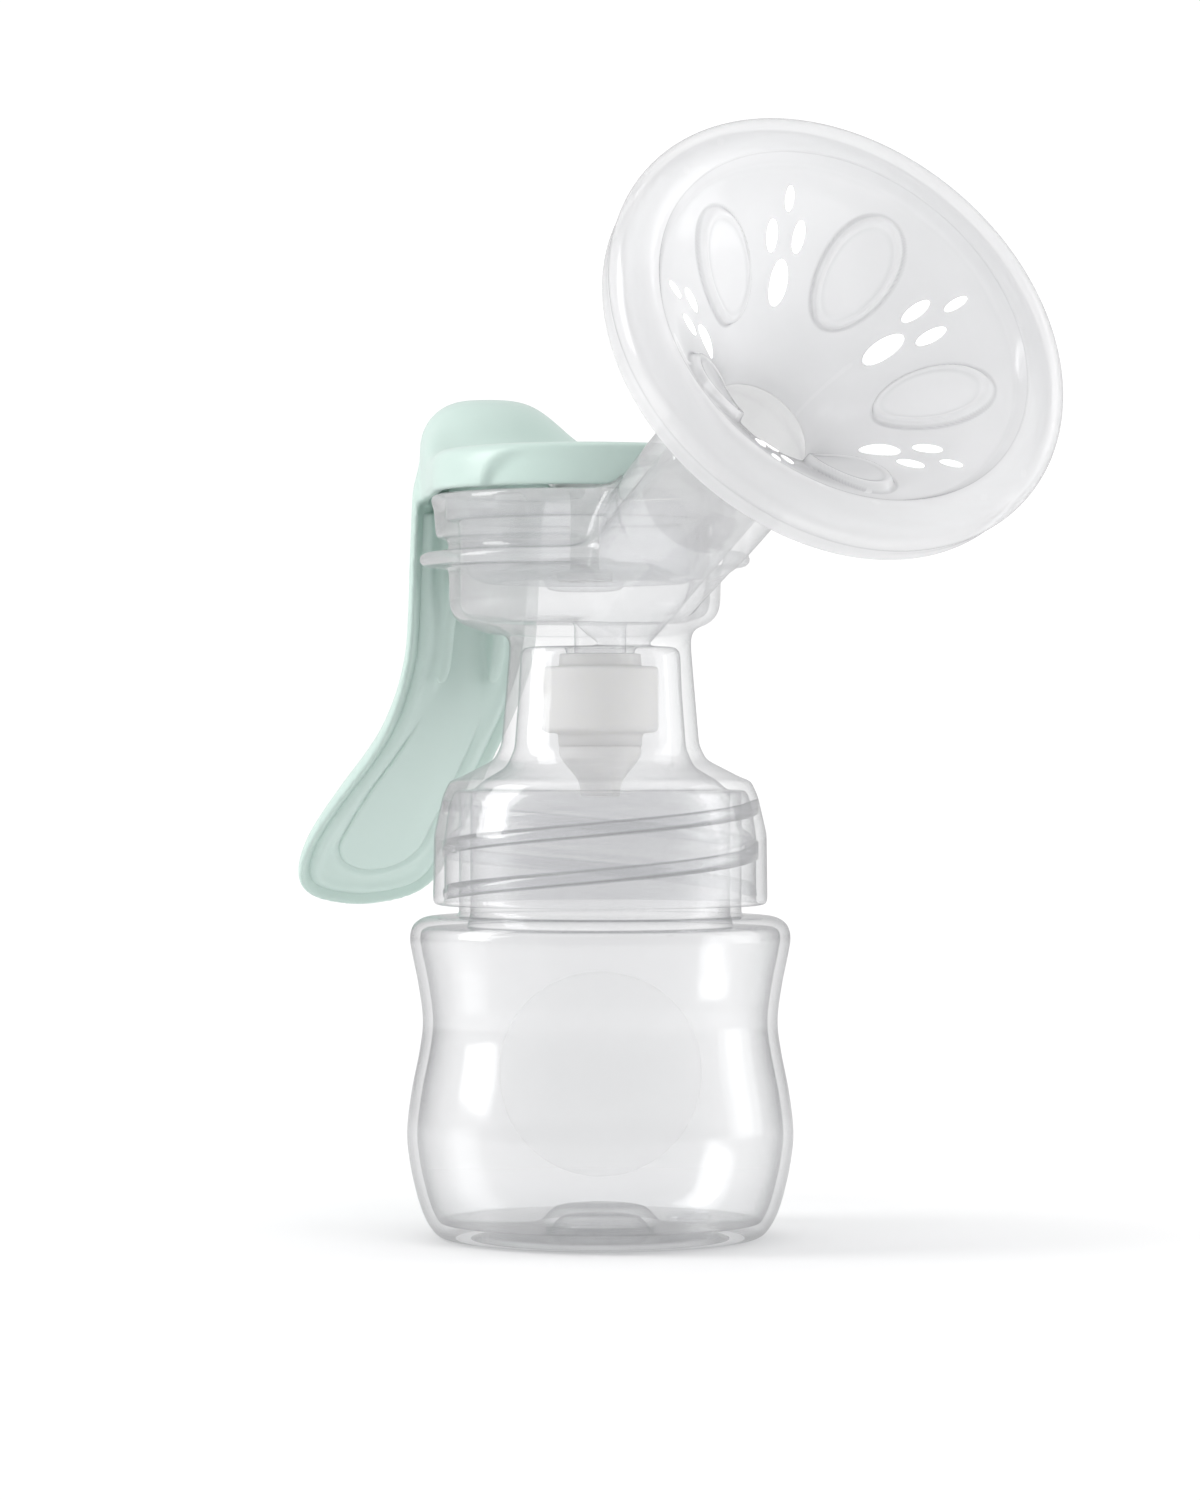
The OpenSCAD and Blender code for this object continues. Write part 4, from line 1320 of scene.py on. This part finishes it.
# ------------------------------------------------------------------ bottle print and button
def build_print():
    """Plain frosted disc on the side of the bottle that faces the camera."""
    middle_z, disc_radius, facing = 31.2, 17.4, math.radians(-28.0)
    rings, segments = 22, 96
    side = spline(BOTTLE_SIDE[4:12], 10)
    points = []
    for i in range(rings + 1):
        out = disc_radius * i / rings
        lift = 0.07 if i < rings else 0.03      # the disc's rim lies closer to the wall
        for j in range(segments if i else 1):
            turn = 2 * math.pi * j / segments
            z = middle_z + out * math.sin(turn)
            radius = float(np.interp(z, side[:, 1], side[:, 0])) + lift
            angle = facing + math.asin(np.clip(out * math.cos(turn) / radius, -1, 1))
            points.append((radius * math.cos(angle), radius * math.sin(angle), z))
    piece = list_mesh("bottle_print", points, disc_faces(0, rings, segments),
                      face_outward=False)
    thickness = piece.modifiers.new("thick", "SOLIDIFY")
    thickness.thickness = 0.00006
    thickness.offset = -1.0
    dress(piece, print_frost(), "bottle", "clear_bottle")


def build_button():
    """Small moulded button on the bottle's floor."""
    # (radius, z)
    top = spline([[0, 3.75], [1.2, 3.7], [2.1, 3.45], [2.6, 3.3], [3.1, 3.5], [3.6, 3.35],
                  [4.0, 2.9], [4.15, 2.4]], 5)
    profile = np.concatenate([top, [[2.0, 2.4], [0, 2.4]]])
    profile[0, 0] = 0.0
    piece = lathe("bottle_button", profile, 48, closed=False,
                  place=lambda points: points + np.array([-3.0, 19.5, 0.0]))
    dress(piece, CLEAR_RIB, "bottle", "clear_bottle")


# ------------------------------------------------------------------ studio
BACKDROP = 1.06                             # brightness of the white seen by the camera
TO_CAMERA_X, TO_CAMERA_Y = 0.8829, -0.4695  # level direction from the pump to the camera


def build_world(scene):
    """Grey surroundings, darker on the camera's side; the camera itself sees plain white."""
    world = bpy.data.worlds.new("studio")
    scene.world = world
    world.use_nodes = True
    sh = Shader(world.node_tree)
    direction = sh.source("TexCoord", "Generated")
    toward = sh.vector("DOT_PRODUCT", direction, (TO_CAMERA_X, TO_CAMERA_Y, 0.0))
    front = sh.remap(toward, start=0.05, end=0.95)
    grey = sh.mix_color(front, (0.80, 0.80, 0.805), (0.66, 0.665, 0.67))
    surroundings = sh.shade("Background", Color=grey, Strength=0.90)
    backdrop = sh.shade("Background", Color=WHITE, Strength=BACKDROP)
    camera_ray = sh.source("LightPath", "Is Camera Ray")
    sh.node("OutputWorld", {0: sh.mix_shader(camera_ray, surroundings, backdrop)})


def build_floor():
    bpy.ops.mesh.primitive_plane_add(size=60.0, location=(0, 0, 0))
    floor = bpy.context.object
    floor.name = "studio_floor"
    material, sh = new_material("studio_floor")
    coords = sh.coords()
    cloud = sh.noise(coords, scale=8, detail=3)
    sheet = sh.shade("BsdfDiffuse", Color=sh.mix_color(cloud, (0.915, 0.915, 0.918),
                                                       (0.925, 0.925, 0.925)))
    # seen directly, the sheet fades into the white background away from the object
    white = sh.shade("Emission", Color=WHITE, Strength=BACKDROP)
    far = sh.remap(sh.vector("LENGTH", coords), start=0.055, end=0.145)
    camera_ray = sh.source("LightPath", "Is Camera Ray")
    sh.finish(sh.mix_shader(sh.math("MULTIPLY", far, camera_ray), sheet, white))
    floor.data.materials.append(material)


def area_light(scene, name, right, up, toward, target, width, height, power):
    """Area light placed to the camera's right, up, and towards the camera, from the origin."""
    light = bpy.data.lights.new(name, "AREA")
    light.shape = "RECTANGLE"
    light.size = width
    light.size_y = height
    light.energy = power
    lamp = bpy.data.objects.new(name, light)
    scene.collection.objects.link(lamp)
    place = Vector((-TO_CAMERA_Y * right + TO_CAMERA_X * toward,
                    TO_CAMERA_X * right + TO_CAMERA_Y * toward, up))
    lamp.location = place
    lamp.rotation_euler = (Vector(target) - place).to_track_quat("-Z", "Y").to_euler()
    return lamp


def build_lights(scene):
    area_light(scene, "key_left", right=-1.00, up=0.60, toward=0.10, target=(0, 0, 0.09),
               width=0.45, height=0.9, power=7.2)
    area_light(scene, "top_soft", right=-0.15, up=1.20, toward=0.0, target=(0, 0, 0.08),
               width=1.0, height=1.0, power=2.0)
    front = area_light(scene, "front_soft", right=0.60, up=0.22, toward=0.80,
                       target=(-0.03, 0, 0.09), width=0.45, height=0.6, power=4.0)
    front.visible_glossy = False        # fills the shade without a window-shaped glint
    area_light(scene, "right_fill", right=0.95, up=0.40, toward=-0.15, target=(0, 0, 0.1),
               width=0.45, height=0.9, power=2.2)


def build_camera(scene):
    camera = bpy.data.cameras.new("camera")
    holder = bpy.data.objects.new("camera", camera)
    scene.collection.objects.link(holder)
    holder.location = (0.7505, -0.3991, 0.0853)
    holder.rotation_euler = (math.radians(90), 0, math.radians(62.0))
    camera.sensor_fit = "VERTICAL"
    camera.sensor_height = 36.0
    camera.sensor_width = 28.8
    camera.lens = 115.2
    camera.shift_y = 0.004
    camera.clip_end = 20
    scene.camera = holder


def set_render(scene):
    scene.view_settings.view_transform = "Standard"
    scene.view_settings.look = "None"
    cycles = scene.cycles
    cycles.use_denoising = True
    cycles.max_bounces = 12
    cycles.transparent_max_bounces = 64     # many clear walls stand behind one another
    cycles.transmission_bounces = 12
    cycles.diffuse_bounces = 5
    cycles.glossy_bounces = 4
    cycles.caustics_reflective = False
    cycles.caustics_refractive = False
    cycles.sample_clamp_indirect = 4.0


# ------------------------------------------------------------------ build
build_bottle()
build_body()
build_cushion()
build_cushion_dots()
build_valve()
build_diaphragm()
build_stem()
build_handle()
build_print()
build_button()

studio = bpy.context.scene
build_world(studio)
build_floor()
build_lights(studio)
build_camera(studio)
set_render(studio)
